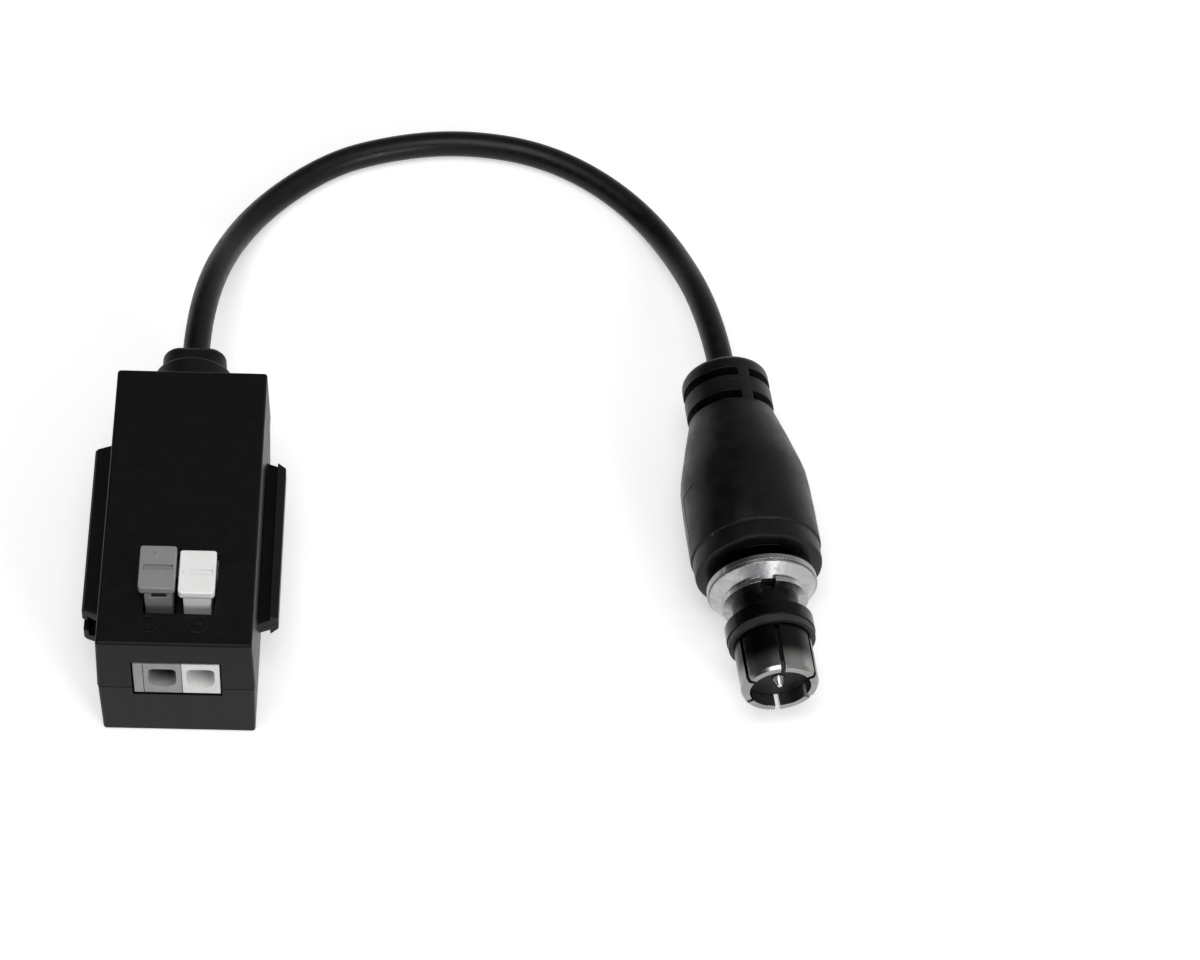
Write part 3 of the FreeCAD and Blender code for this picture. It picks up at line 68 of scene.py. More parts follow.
# shader building
class Graph:
    """A node tree that is being wired."""

    def __init__(self, tree: bpy.types.NodeTree) -> None:
        """Keep the tree.

        Args:
            tree: the tree that nodes and links go into.
        """
        self.tree = tree

    def add(self, kind: str, inputs: dict | None = None, **settings: object) -> bpy.types.Node:
        """Add a node, set it up and feed it.

        Args:
            kind: the node's type name.
            inputs: a value or another node's socket for each input, by name or place.
            settings: the node's own properties.

        Returns:
            The new node.
        """
        node = self.tree.nodes.new(kind)
        for key, value in settings.items():
            setattr(node, key, value)
        for key, value in (inputs or {}).items():
            if isinstance(value, Socket):
                self.tree.links.new(value, node.inputs[key])
            else:
                node.inputs[key].default_value = value
        return node

    def sum(self, operation: str, *terms: object, clamp: bool = False) -> Socket:
        """Work out one number from others.

        Args:
            operation: the Math node's operation.
            terms: numbers or sockets, in the node's order.
            clamp: keep the result between 0 and 1.

        Returns:
            The result's socket.
        """
        node = self.add("ShaderNodeMath", dict(enumerate(terms)), operation=operation, use_clamp=clamp)
        return node.outputs[0]

    def noise(self, where: Socket, scale: object, detail: float = 2.0, rough: float = 0.5) -> Socket:
        """A noise value from 0 to 1 at a place.

        Args:
            where: the coordinates.
            scale: how fine it is, per metre.
            detail: octaves.
            rough: weight of the finer octaves.

        Returns:
            The noise factor's socket.
        """
        node = self.add("ShaderNodeTexNoise",
                        {"Vector": where, "Scale": scale, "Detail": detail, "Roughness": rough})
        return node.outputs["Fac"]

    def span(self, value: Socket, low: float, high: float, start: float = 0.0,
             end: float = 1.0) -> Socket:
        """Map a value smoothly from one range to another.

        Args:
            value: the value to map.
            low: value at which the result is start.
            high: value at which the result is end.
            start: first result.
            end: last result.

        Returns:
            The mapped value's socket.
        """
        node = self.add("ShaderNodeMapRange", {0: value, 1: low, 2: high, 3: start, 4: end},
                        interpolation_type="SMOOTHSTEP")
        return node.outputs[0]

    def tint(self, factor: object, first: object, second: object) -> Socket:
        """Mix two colours.

        Args:
            factor: share of the second colour.
            first: first colour or its socket.
            second: second colour or its socket.

        Returns:
            The mixed colour's socket.
        """
        node = self.add("ShaderNodeMix", data_type="RGBA")
        for key, value in (("Factor_Float", factor), ("A_Color", first), ("B_Color", second)):
            place = next(s for s in node.inputs if s.identifier == key)
            if isinstance(value, Socket):
                self.tree.links.new(value, place)
            elif isinstance(value, tuple):
                place.default_value = (*value, 1.0)
            else:
                place.default_value = value
        return next(s for s in node.outputs if s.identifier == "Result_Color")


class Effects:
    """Surface effects that several finishes share, each a node group made once."""

    def __init__(self) -> None:
        """Make all the groups."""
        self.grain = self._group("fine_grain", {"Fineness": 2500.0}, {"Height": 0, "Tone": 0},
                                 self._wire_grain)
        # edge mask: partly rubbed wear, partly a painted highlight along the edges
        self.wear_and_highlight = self._group("edge_wear_and_highlight", {"Width": 0.00018, "Patchiness": 900.0}, {"Mask": 0},
                                self._wire_wear_and_highlight)
        self.dust = self._group("dust", {"Fineness": 800.0, "Amount": 0.05}, {"Mask": 0},
                                self._wire_dust)
        self.scuffs = self._group("scuffs", {"Fineness": 220.0, "Amount": 0.4}, {"Mask": 0},
                                  self._wire_scuffs)
        self.lathe = self._group("lathe_lines", {"Vector": Vector(), "Fineness": 9000.0},
                                 {"Height": 0, "Tone": 0}, self._wire_lathe)

    @staticmethod
    def _group(name: str, inputs: dict, outputs: dict,
               wire: Callable[[Graph, bpy.types.Node], dict[str, Socket]]) -> bpy.types.NodeTree:
        """Make one node group.

        Args:
            name: the group's name.
            inputs: input names with their usual values.
            outputs: output names.
            wire: makes the inside and returns a socket for each output.

        Returns:
            The finished group.
        """
        tree = bpy.data.node_groups.new(name, "ShaderNodeTree")
        for key, value in inputs.items():
            kind = "NodeSocketVector" if isinstance(value, Vector) else "NodeSocketFloat"
            socket = tree.interface.new_socket(name=key, in_out="INPUT", socket_type=kind)
            if kind == "NodeSocketFloat":
                socket.default_value = value
        for key in outputs:
            tree.interface.new_socket(name=key, in_out="OUTPUT", socket_type="NodeSocketFloat")
        graph = Graph(tree)
        start = graph.add("NodeGroupInput")
        results = wire(graph, start)
        graph.add("NodeGroupOutput", results)
        return tree

    @staticmethod
    def _wire_grain(graph: Graph, start: bpy.types.Node) -> dict[str, Socket]:
        """Moulded grain: a fine texture over a faint swell."""
        where = graph.add("ShaderNodeTexCoord").outputs["Object"]
        fine = graph.noise(where, start.outputs["Fineness"], 3.0, 0.6)
        broad = graph.noise(where, graph.sum("MULTIPLY", start.outputs["Fineness"], 0.13), 2.0)
        height = graph.sum("ADD", graph.sum("MULTIPLY", fine, 0.6), graph.sum("MULTIPLY", broad, 0.4))
        return {"Height": height, "Tone": graph.span(broad, 0.3, 0.7)}

    @staticmethod
    def _wire_wear_and_highlight(graph: Graph, start: bpy.types.Node) -> dict[str, Socket]:
        """Rubbed edges with a painted highlight: where the surface turns within the width, in patches.
        """
        turned = graph.add("ShaderNodeBevel", {"Radius": start.outputs["Width"]}, samples=6)
        flat = graph.add("ShaderNodeNewGeometry").outputs["Normal"]
        match = graph.add("ShaderNodeVectorMath", {0: turned.outputs[0], 1: flat},
                          operation="DOT_PRODUCT").outputs["Value"]
        edge = graph.span(match, 0.985, 0.86)
        where = graph.add("ShaderNodeTexCoord").outputs["Object"]
        patch = graph.span(graph.noise(where, start.outputs["Patchiness"], 3.0), 0.35, 0.65, 0.35, 1.0)
        return {"Mask": graph.sum("MULTIPLY", edge, patch)}

    @staticmethod
    def _wire_dust(graph: Graph, start: bpy.types.Node) -> dict[str, Socket]:
        """Specks of dust: rare small dots on faces that look up."""
        where = graph.add("ShaderNodeTexCoord").outputs["Object"]
        cells = graph.add("ShaderNodeTexVoronoi", {"Vector": where, "Scale": start.outputs["Fineness"]})
        keep = graph.sum("LESS_THAN", graph.add("ShaderNodeSeparateColor",
                                                {0: cells.outputs["Color"]}).outputs[0],
                         start.outputs["Amount"])
        dot = graph.span(cells.outputs["Distance"], 0.13, 0.05)
        normal = graph.add("ShaderNodeNewGeometry").outputs["Normal"]
        up = graph.span(graph.add("ShaderNodeSeparateXYZ", {0: normal}).outputs["Z"], 0.2, 0.8)
        return {"Mask": graph.sum("MULTIPLY", graph.sum("MULTIPLY", dot, keep), up)}

    @staticmethod
    def _wire_scuffs(graph: Graph, start: bpy.types.Node) -> dict[str, Socket]:
        """Handling marks: thin crossing scratches that come and go."""
        where = graph.add("ShaderNodeTexCoord").outputs["Object"]
        lines = None
        for turn, stretch in ((0.5, 14.0), (-0.9, 17.0)):
            laid = graph.add("ShaderNodeMapping", {"Vector": where, "Rotation": Euler((0.3, 0.2, turn)),
                                                   "Scale": Vector((1.0, stretch, 1.0))})
            streak = graph.noise(laid.outputs[0], start.outputs["Fineness"], 4.0, 0.65)
            thin = graph.span(streak, 0.635, 0.7)
            lines = thin if lines is None else graph.sum("MAXIMUM", lines, thin)
        patch = graph.span(graph.noise(where, graph.sum("MULTIPLY", start.outputs["Fineness"], 0.7)),
                           0.5, 0.7)
        mask = graph.sum("MULTIPLY", graph.sum("MULTIPLY", lines, patch), start.outputs["Amount"])
        return {"Mask": mask}

    @staticmethod
    def _wire_lathe(graph: Graph, start: bpy.types.Node) -> dict[str, Socket]:
        """Turning marks: rings about the local X axis, from the distance along it and from it."""
        parts = graph.add("ShaderNodeSeparateXYZ", {0: start.outputs["Vector"]})
        across = graph.add("ShaderNodeCombineXYZ", {1: parts.outputs["Y"], 2: parts.outputs["Z"]})
        radius = graph.add("ShaderNodeVectorMath", {0: across.outputs[0]},
                           operation="LENGTH").outputs["Value"]
        along = graph.add("ShaderNodeCombineXYZ", {0: parts.outputs["X"], 1: radius})
        rings = graph.noise(along.outputs[0], start.outputs["Fineness"], 2.0, 0.7)
        cloud = graph.noise(start.outputs["Vector"], 350.0, 3.0, 0.6)
        return {"Height": rings, "Tone": graph.span(cloud, 0.3, 0.7)}


# finishes
PLUG_FRONT = (0.0636, -0.016, 0.0073)
PLUG_YAW = math.radians(7.07)


@dataclass(frozen=True)
class Finish:
    """What every finish has, and a plain moulded or sheet surface as such.

    Attributes:
        name: the material's name.
        colour: its main colour.
        second: the colour of its broad mottling.
        worn_and_highlight: its colour where edges are rubbed and painted with a highlight.
        smooth: lowest roughness.
        rough: highest roughness.
        fineness: grain per metre.
        depth: depth of the grain in metres.
        wear_and_highlight: how strongly edges are rubbed and painted with a highlight.
        specks: share of cells with a dust speck.
        scratches: strength of handling marks.
        metal: how metallic it is.
        gloss: specular level of the surface.
        glow: share of light that travels under the surface.
    """

    name: str
    colour: Colour
    second: Colour
    worn_and_highlight: Colour
    smooth: float = 0.4
    rough: float = 0.55
    fineness: float = 4000.0
    depth: float = 0.00001
    wear_and_highlight: float = 0.5
    specks: float = 0.0
    scratches: float = 0.0
    metal: float = 0.0
    gloss: float = 0.5
    glow: float = 0.0

    def build(self, effects: Effects) -> bpy.types.Material:
        """Make the material.

        Args:
            effects: the shared effect groups.

        Returns:
            The finished material.
        """
        material = bpy.data.materials.new(self.name)
        material.use_nodes = True
        graph = Graph(material.node_tree)
        shader = next(n for n in graph.tree.nodes if n.type == "BSDF_PRINCIPLED")
        shader.inputs["Metallic"].default_value = self.metal
        shader.inputs["Specular IOR Level"].default_value = self.gloss
        if self.glow:
            shader.inputs["Subsurface Weight"].default_value = self.glow
            shader.inputs["Subsurface Radius"].default_value = (0.6, 0.55, 0.5)
            shader.inputs["Subsurface Scale"].default_value = 0.0008
        height, tone = self.texture(graph, effects)
        # edges take a lighter colour in patches: partly rubbed wear, partly a painted highlight
        wear_and_highlight = self.place(graph, effects.wear_and_highlight, {}, "Mask")
        wear_and_highlight = graph.sum("MULTIPLY", wear_and_highlight, self.wear_and_highlight)
        colour = graph.tint(tone, self.colour, self.second)
        colour = graph.tint(wear_and_highlight, colour, self.worn_and_highlight)
        roughness = graph.sum("ADD", graph.sum("MULTIPLY", tone, self.rough - self.smooth), self.smooth)
        roughness = graph.sum("SUBTRACT", roughness, graph.sum("MULTIPLY", wear_and_highlight, 0.12))
        if self.scratches:
            marks = self.place(graph, effects.scuffs, {"Amount": self.scratches}, "Mask")
            colour = graph.tint(marks, colour, self.worn_and_highlight)
            roughness = graph.sum("ADD", roughness, graph.sum("MULTIPLY", marks, 0.2))
        if self.specks:
            dust = self.place(graph, effects.dust, {"Amount": self.specks}, "Mask")
            colour = graph.tint(dust, colour, (0.42, 0.41, 0.39))
            roughness = graph.sum("MAXIMUM", roughness, graph.sum("MULTIPLY", dust, 0.9))
        colour = self.pattern(graph, colour)
        soft = graph.add("ShaderNodeBevel", {"Radius": 0.00008}, samples=4)
        bump = graph.add("ShaderNodeBump", {"Height": height, "Distance": self.depth,
                                            "Strength": 0.6, "Normal": soft.outputs[0]})
        for socket, value in (("Base Color", colour), ("Roughness", roughness),
                              ("Normal", bump.outputs[0])):
            graph.tree.links.new(value, shader.inputs[socket])
        return material

    @staticmethod
    def place(graph: Graph, group: bpy.types.NodeTree, inputs: dict, output: str) -> Socket:
        """Place an effect group and return one of its outputs.

        Args:
            graph: the material being wired.
            group: the effect.
            inputs: values for its inputs.
            output: the output that is wanted.

        Returns:
            That output's socket.
        """
        node = graph.add("ShaderNodeGroup", node_tree=group)
        for key, value in inputs.items():
            if isinstance(value, Socket):
                graph.tree.links.new(value, node.inputs[key])
            else:
                node.inputs[key].default_value = value
        return node.outputs[output]

    def texture(self, graph: Graph, effects: Effects) -> tuple[Socket, Socket]:
        """The grain's height and the broad mottling.

        Args:
            graph: the material being wired.
            effects: the shared effect groups.

        Returns:
            The sockets of the height and of the tone.
        """
        height = self.place(graph, effects.grain, {"Fineness": self.fineness}, "Height")
        return height, height.node.outputs["Tone"]

    def pattern(self, graph: Graph, colour: Socket) -> Socket:
        """Lay a pattern over the colour; a plain finish has none.

        Args:
            graph: the material being wired.
            colour: the colour so far.

        Returns:
            The colour's socket.
        """
        return colour


@dataclass(frozen=True)
class TurnedFinish(Finish):
    """A lathe-turned surface on the plug's axis.

    Attributes:
        dim: how dark the painted shade gets behind the plug's front, deepest inside the plug.
    """

    dim: float = 0.0

    def pattern(self, graph: Graph, colour: Socket) -> Socket:
        """Paint shade over what lies deep behind the plug's front.

        Args:
            graph: the material being wired.
            colour: the colour so far.

        Returns:
            The colour's socket.
        """
        if not self.dim:
            return colour
        where = graph.add("ShaderNodeTexCoord").outputs["Object"]
        away = graph.add("ShaderNodeVectorMath", {0: where, 1: PLUG_FRONT}, operation="SUBTRACT")
        axis = (-math.sin(PLUG_YAW), math.cos(PLUG_YAW), 0.0)
        depth = graph.add("ShaderNodeVectorMath", {0: away.outputs[0], 1: axis},
                          operation="DOT_PRODUCT").outputs["Value"]
        # painted shade: near black from 1.2 mm to 3.5 mm behind the plug's front
        return graph.tint(graph.span(depth, 0.0012, 0.0035, 0.0, self.dim), colour,
                          (0.008, 0.008, 0.008))

    def texture(self, graph: Graph, effects: Effects) -> tuple[Socket, Socket]:
        """Turning marks about the plug's axis, with a cloudy tone.

        Args:
            graph: the material being wired.
            effects: the shared effect groups.

        Returns:
            The sockets of the height and of the tone.
        """
        where = graph.add("ShaderNodeTexCoord").outputs["Object"]
        to_plug = (Matrix.Translation(PLUG_FRONT) @ Matrix.Rotation(PLUG_YAW + math.pi / 2, 4, "Z"))
        turned = graph.add("ShaderNodeMapping", {"Vector": where}, vector_type="TEXTURE")
        turned.inputs["Location"].default_value = to_plug.translation
        turned.inputs["Rotation"].default_value = to_plug.to_euler()
        height = self.place(graph, effects.lathe,
                            {"Vector": turned.outputs[0], "Fineness": self.fineness}, "Height")
        return height, height.node.outputs["Tone"]


@dataclass(frozen=True)
class RecessShadedFinish(Finish):
    """A moulded surface with painted shade inside the block's openings.

    Attributes:
        deep: the colour of the painted shade inside.
        near: where the painted shade starts, along the housing.
        far: where it ends.
    """

    deep: Colour = (0.05, 0.05, 0.05)
    near: float = -0.01765
    far: float = -0.0158

    def pattern(self, graph: Graph, colour: Socket) -> Socket:
        """Paint shade over the colour along the housing.

        Args:
            graph: the material being wired.
            colour: the colour so far.

        Returns:
            The colour's socket.
        """
        where = graph.add("ShaderNodeTexCoord").outputs["Object"]
        along = graph.add("ShaderNodeSeparateXYZ", {0: where}).outputs["Y"]
        # painted shade: the colour runs to deep from near to far along the housing
        return graph.tint(graph.span(along, self.near, self.far), colour, self.deep)


@dataclass(frozen=True)
class TrackedBoard(Finish):
    """Solder mask with copper tracks that show through."""

    track: Colour = (0.03, 0.24, 0.08)

    def pattern(self, graph: Graph, colour: Socket) -> Socket:
        """Draw lighter tracks in steps across the board.

        Args:
            graph: the material being wired.
            colour: the colour so far.

        Returns:
            The colour with its tracks.
        """
        where = graph.add("ShaderNodeTexCoord").outputs["Object"]
        bricks = graph.add("ShaderNodeTexBrick", {
            "Vector": where, "Scale": 420.0, "Mortar Size": 0.06, "Mortar Smooth": 0.1,
            "Brick Width": 2.6, "Row Height": 0.5, "Color1": (0, 0, 0, 1), "Color2": (0, 0, 0, 1),
            "Mortar": (1, 1, 1, 1)})
        return graph.tint(bricks.outputs["Fac"], colour, self.track)


@dataclass(frozen=True)
class WoundWire(Finish):
    """Enamelled wire wound about a ring: bands that fan out from its middle."""

    middle: Point = (0.0, 0.0065, 0.0)
    turns: float = 46.0

    def pattern(self, graph: Graph, colour: Socket) -> Socket:
        """Darken the valleys between the turns.

        Args:
            graph: the material being wired.
            colour: the colour so far.

        Returns:
            The banded colour.
        """
        where = graph.add("ShaderNodeTexCoord").outputs["Object"]
        centred = graph.add("ShaderNodeVectorMath", {0: where, 1: self.middle}, operation="SUBTRACT")
        parts = graph.add("ShaderNodeSeparateXYZ", {0: centred.outputs[0]})
        angle = graph.sum("ARCTAN2", parts.outputs["Y"], parts.outputs["X"])
        band = graph.sum("SINE", graph.sum("MULTIPLY", angle, self.turns))
        return graph.tint(graph.span(band, -0.4, -1.0), colour, (0.03, 0.008, 0.003))


class Finishes:
    """All the finishes of the balun, made once and handed out by slot."""

    BLACK = (0.003, 0.003, 0.0031)

    def __init__(self, effects: Effects) -> None:
        """Make every material.

        Args:
            effects: the shared effect groups.
        """
        rows = [
            Finish("housing", self.BLACK, (0.0037, 0.0037, 0.0038), (0.03, 0.03, 0.03), 0.36, 0.42,
                   5200.0, 0.00001, 0.6, scratches=0.06, gloss=0.15),
            Finish("relief_rubber", (0.003, 0.003, 0.003), (0.0042, 0.0042, 0.0042),
                   (0.02, 0.02, 0.02), 0.44, 0.54, 6500.0, 0.00001, 0.4, gloss=0.2),
            Finish("cable_jacket", (0.003, 0.003, 0.0031), (0.0044, 0.0044, 0.0046),
                   (0.016, 0.016, 0.016), 0.32, 0.42, 7000.0, 0.000006, 0.0, specks=0.01,
                   scratches=0.2, gloss=0.24),
            # both terminal finishes carry painted shade inside the wire entries and the lever chamber
            RecessShadedFinish("terminal_grey", (0.31, 0.31, 0.31), (0.28, 0.28, 0.28), (0.4, 0.4, 0.4),
                           0.42, 0.55, 4800.0, 0.000008, 0.3, gloss=0.4, deep=(0.045, 0.045, 0.045)),
            RecessShadedFinish("terminal_white", (0.76, 0.76, 0.75), (0.72, 0.72, 0.71),
                           (0.82, 0.82, 0.81), 0.42, 0.55, 4800.0, 0.000008, 0.3, gloss=0.4,
                           deep=(0.3, 0.3, 0.3), far=-0.0145),
            Finish("lever_grey", (0.25, 0.25, 0.252), (0.228, 0.229, 0.231), (0.36, 0.36, 0.36),
                   0.4, 0.52, 4200.0, 0.000008, 0.4, specks=0.01, gloss=0.4, glow=0.1),
            Finish("lever_white", (0.86, 0.86, 0.85), (0.83, 0.83, 0.82), (0.9, 0.9, 0.89),
                   0.4, 0.52, 4200.0, 0.000008, 0.4, specks=0.01, gloss=0.4, glow=0.2),
            Finish("spring_steel", (0.5, 0.5, 0.51), (0.42, 0.42, 0.43), (0.7, 0.7, 0.7),
                   0.2, 0.32, 9000.0, 0.000002, 0.5, metal=1.0),
            Finish("tinned_copper", (0.66, 0.65, 0.63), (0.56, 0.55, 0.53), (0.8, 0.79, 0.77),
                   0.24, 0.4, 7000.0, 0.000003, 0.5, metal=1.0),
            TrackedBoard("board_laminate", (0.012, 0.1, 0.035), (0.01, 0.08, 0.03),
                         (0.3, 0.28, 0.16), 0.25, 0.4, 3000.0, 0.000004, 0.4),
            Finish("ferrite", (0.03, 0.03, 0.031), (0.045, 0.044, 0.043), (0.09, 0.09, 0.09),
                   0.6, 0.8, 5000.0, 0.00002, 0.6),
            WoundWire("winding_copper", (0.42, 0.13, 0.04), (0.34, 0.1, 0.03), (0.6, 0.26, 0.1),
                      0.25, 0.4, 4000.0, 0.000003, 0.2, metal=0.6),
            Finish("chip_black", (0.015, 0.015, 0.015), (0.022, 0.022, 0.022), (0.06, 0.06, 0.06),
                   0.5, 0.7, 6000.0, 0.000006, 0.5),
            Finish("chip_tan", (0.36, 0.25, 0.14), (0.3, 0.2, 0.11), (0.5, 0.4, 0.28),
                   0.4, 0.6, 6000.0, 0.000006, 0.5),
            Finish("boot_black", (0.0028, 0.0028, 0.0029), (0.004, 0.004, 0.0041),
                   (0.03, 0.03, 0.03), 0.3, 0.42, 4200.0, 0.00001, 0.5, specks=0.015,
                   scratches=0.35, gloss=0.22),
            TurnedFinish("nickel", (0.36, 0.356, 0.35), (0.3, 0.296, 0.29), (0.6, 0.594, 0.58),
                         0.2, 0.3, 9000.0, 0.0000022, 0.5, scratches=0.25, metal=1.0),
            # body_nickel carries painted shade deep inside the plug
            TurnedFinish("body_nickel", (0.36, 0.356, 0.35), (0.3, 0.296, 0.29), (0.6, 0.594, 0.58),
                         0.2, 0.3, 9000.0, 0.0000022, 0.5, metal=1.0, dim=0.97),
            TurnedFinish("insulator_dark", (0.006, 0.006, 0.0065), (0.009, 0.009, 0.0095),
                         (0.03, 0.03, 0.03), 0.42, 0.55, 6000.0, 0.000005, 0.4, gloss=0.25),
            TurnedFinish("contact_bright", (0.72, 0.71, 0.69), (0.62, 0.61, 0.59),
                         (0.85, 0.84, 0.82), 0.12, 0.22, 9000.0, 0.0000015, 0.5, metal=1.0),
            Finish("gasket_rubber", (0.012, 0.012, 0.012), (0.018, 0.018, 0.018),
                   (0.04, 0.04, 0.04), 0.5, 0.65, 6000.0, 0.000008, 0.3),
        ]
        self.made = {row.name: row.build(effects) for row in rows}

    def dress(self, piece: bpy.types.Object, slot: str) -> None:
        """Give a new piece its finish and name its slot.

        Args:
            piece: the piece.
            slot: the record's material slot.
        """
        piece.data.materials.clear()
        piece.data.materials.append(self.made[slot])

    def dress_node(self, name: str, slot: str) -> None:
        """Put a finish on a carried-over solid, in its object's own slots.

        Args:
            name: the solid's node name.
            slot: the record's material slot.
        """
        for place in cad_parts[name].material_slots:
            place.link = "OBJECT"
            place.material = self.made[slot]
        LOG.info("%s keeps its solid, finished as %s", name, slot)


# modelling by hand
class Bench:
    """Blender's modelling tools, used as by hand."""

    @staticmethod
    def rest() -> None:
        """Leave edit mode and let go of everything."""
        if bpy.context.object is not None and bpy.context.object.mode != "OBJECT":
            bpy.ops.object.mode_set(mode="OBJECT")
        bpy.ops.object.select_all(action="DESELECT")

    @classmethod
    def hold(cls, obj: bpy.types.Object) -> None:
        """Select one object alone.

        Args:
            obj: the object.
        """
        cls.rest()
        obj.select_set(True)
        bpy.context.view_layer.objects.active = obj

    @classmethod
    def cube(cls, name: str, low: Sequence[float], high: Sequence[float]) -> bpy.types.Object:
        """A block between two corners, in millimetres.

        Args:
            name: the block's name.
            low: its lowest corner.
            high: its highest corner.

        Returns:
            The block, with its place in its mesh.
        """
        cls.rest()
        a, b = Vector(low) * MM, Vector(high) * MM
        bpy.ops.mesh.primitive_cube_add(size=1, location=(a + b) / 2)
        obj = bpy.context.object
        obj.name = name
        obj.scale = b - a
        bpy.ops.object.transform_apply(location=True, rotation=True, scale=True)
        return obj

    @classmethod
    def rod(cls, name: str, radius: float, start: Sequence[float], end: Sequence[float],
            sides: int = 48) -> bpy.types.Object:
        """A round bar between two points, in millimetres.

        Args:
            name: the bar's name.
            radius: its radius.
            start: middle of its first end.
            end: middle of its last end.
            sides: how many faces go round.

        Returns:
            The bar, with its place in its mesh.
        """
        cls.rest()
        a, b = Vector(start) * MM, Vector(end) * MM
        bpy.ops.mesh.primitive_cylinder_add(vertices=sides, radius=radius * MM, depth=(b - a).length,
                                            location=(a + b) / 2,
                                            rotation=(b - a).to_track_quat("Z", "Y").to_euler())
        obj = bpy.context.object
        obj.name = name
        bpy.ops.object.transform_apply(location=True, rotation=True, scale=True)
        return obj

    @classmethod
    def turned(cls, name: str, section: Section, sides: int, closed: bool = True) -> bpy.types.Object:
        """Turn a half section about the Z axis: a circle, extruded and scaled from point to point.

        Args:
            name: the piece's name.
            section: radius and distance along the axis of each point, in millimetres.
            sides: how many faces go round.
            closed: join the last point to the first; otherwise both ends are capped.

        Returns:
            The turned piece, its axis on Z.
        """
        cls.rest()
        (radius, level), others = section[0], section[1:]
        bpy.ops.mesh.primitive_circle_add(vertices=sides, radius=radius * MM,
                                          location=(0, 0, level * MM))
        obj = bpy.context.object
        obj.name = name
        bpy.ops.object.transform_apply(location=True, rotation=True, scale=True)
        bpy.ops.object.mode_set(mode="EDIT")
        bpy.ops.mesh.select_mode(type="EDGE")
        bpy.ops.mesh.select_all(action="SELECT")
        if not closed:
            bpy.ops.mesh.edge_face_add()
        for new_radius, new_level in others + (section[:1] if closed else []):
            bpy.ops.mesh.extrude_region_move(
                TRANSFORM_OT_translate={"value": (0, 0, (new_level - level) * MM)})
            scale = new_radius / radius
            bpy.ops.transform.resize(value=(scale, scale, 1),
                                     center_override=(0, 0, new_level * MM))
            radius, level = new_radius, new_level
        bpy.ops.mesh.select_all(action="SELECT")
        bpy.ops.mesh.remove_doubles(threshold=1e-7)
        bpy.ops.mesh.normals_make_consistent(inside=False)
        bpy.ops.object.mode_set(mode="OBJECT")
        return obj

    @classmethod
    @contextmanager
    def shaping(cls, obj: bpy.types.Object, kind: str) -> Iterator[bmesh.types.BMesh]:
        """Open an object in edit mode with nothing selected.

        Args:
            obj: the object.
            kind: what is selected, VERT, EDGE or FACE.

        Yields:
            The mesh in edit mode, to select in.
        """
        cls.hold(obj)
        bpy.ops.object.mode_set(mode="EDIT")
        bpy.ops.mesh.select_mode(type=kind)
        bpy.ops.mesh.select_all(action="DESELECT")
        yield bmesh.from_edit_mesh(obj.data)
        bpy.ops.object.mode_set(mode="OBJECT")

    @staticmethod
    def pick(obj: bpy.types.Object, parts: Iterable) -> int:
        """Select vertices, edges or faces, and nothing else.

        Args:
            obj: the object in edit mode.
            parts: what to select.

        Returns:
            How many were selected.
        """
        bpy.ops.mesh.select_all(action="DESELECT")
        count = 0
        for part in parts:
            part.select = True
            count += 1
        bmesh.from_edit_mesh(obj.data).select_flush_mode()
        bmesh.update_edit_mesh(obj.data)
        return count

    @classmethod
    def round_edges(cls, obj: bpy.types.Object, width: float, steps: int,
                    which: Callable[[Vector, Vector], bool]) -> None:
        """Round chosen edges with the bevel tool.

        Args:
            obj: the object.
            width: size of the round, in millimetres.
            steps: faces across the round.
            which: tells from an edge's two ends, in millimetres, whether it is rounded.
        """
        with cls.shaping(obj, "EDGE") as mesh:
            chosen = [e for e in mesh.edges if which(e.verts[0].co / MM, e.verts[1].co / MM)]
            if not cls.pick(obj, chosen):
                raise ValueError(f"{obj.name}: no edge to round")
            bpy.ops.mesh.bevel(offset=width * MM, segments=steps, affect="EDGES", profile=0.5)

    @classmethod
    def carve(cls, obj: bpy.types.Object, tools: Iterable[bpy.types.Object],
              operation: str = "DIFFERENCE") -> bpy.types.Object:
        """Cut tools out of a piece, or join them to it, and clear them away.

        Args:
            obj: the piece.
            tools: the cutting or joined solids.
            operation: DIFFERENCE, UNION or INTERSECT.

        Returns:
            The piece.
        """
        for tool in tools:
            cls.hold(obj)
            step = obj.modifiers.new("carve", "BOOLEAN")
            step.object, step.operation, step.solver = tool, operation, "EXACT"
            bpy.ops.object.modifier_apply(modifier=step.name)
            bpy.data.objects.remove(tool, do_unlink=True)
            if len(obj.data.polygons) < 6:
                raise ValueError(f"{obj.name}: a cut left nothing of it")
        return obj

    @classmethod
    def soften(cls, obj: bpy.types.Object, width: float, steps: int = 2, angle: float = 28.0) -> None:
        """Round every sharp edge with a bevel modifier that is then applied.

        Args:
            obj: the piece.
            width: size of the round, in millimetres.
            steps: faces across the round.
            angle: edges sharper than this are rounded, in degrees.
        """
        cls.hold(obj)
        step = obj.modifiers.new("soften", "BEVEL")
        step.width, step.segments, step.use_clamp_overlap = width * MM, steps, False
        step.limit_method, step.angle_limit = "ANGLE", math.radians(angle)
        bpy.ops.object.modifier_apply(modifier=step.name)

    @classmethod
    def copy_of(cls, node: str, name: str) -> bpy.types.Object:
        """Copy a solid of the frame and merge its loose triangles into whole faces.

        Args:
            node: the solid's node name.
            name: the copy's name.

        Returns:
            The copy, ready to be shaped.
        """
        cls.rest()
        obj = bpy.data.objects.new(name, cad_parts[node].data.copy())
        obj.data.materials.clear()
        bpy.context.collection.objects.link(obj)
        with cls.shaping(obj, "FACE"):
            bpy.ops.mesh.select_all(action="SELECT")
            bpy.ops.mesh.remove_doubles(threshold=1e-6)
            bpy.ops.mesh.dissolve_limited(angle_limit=math.radians(0.6))
        return obj

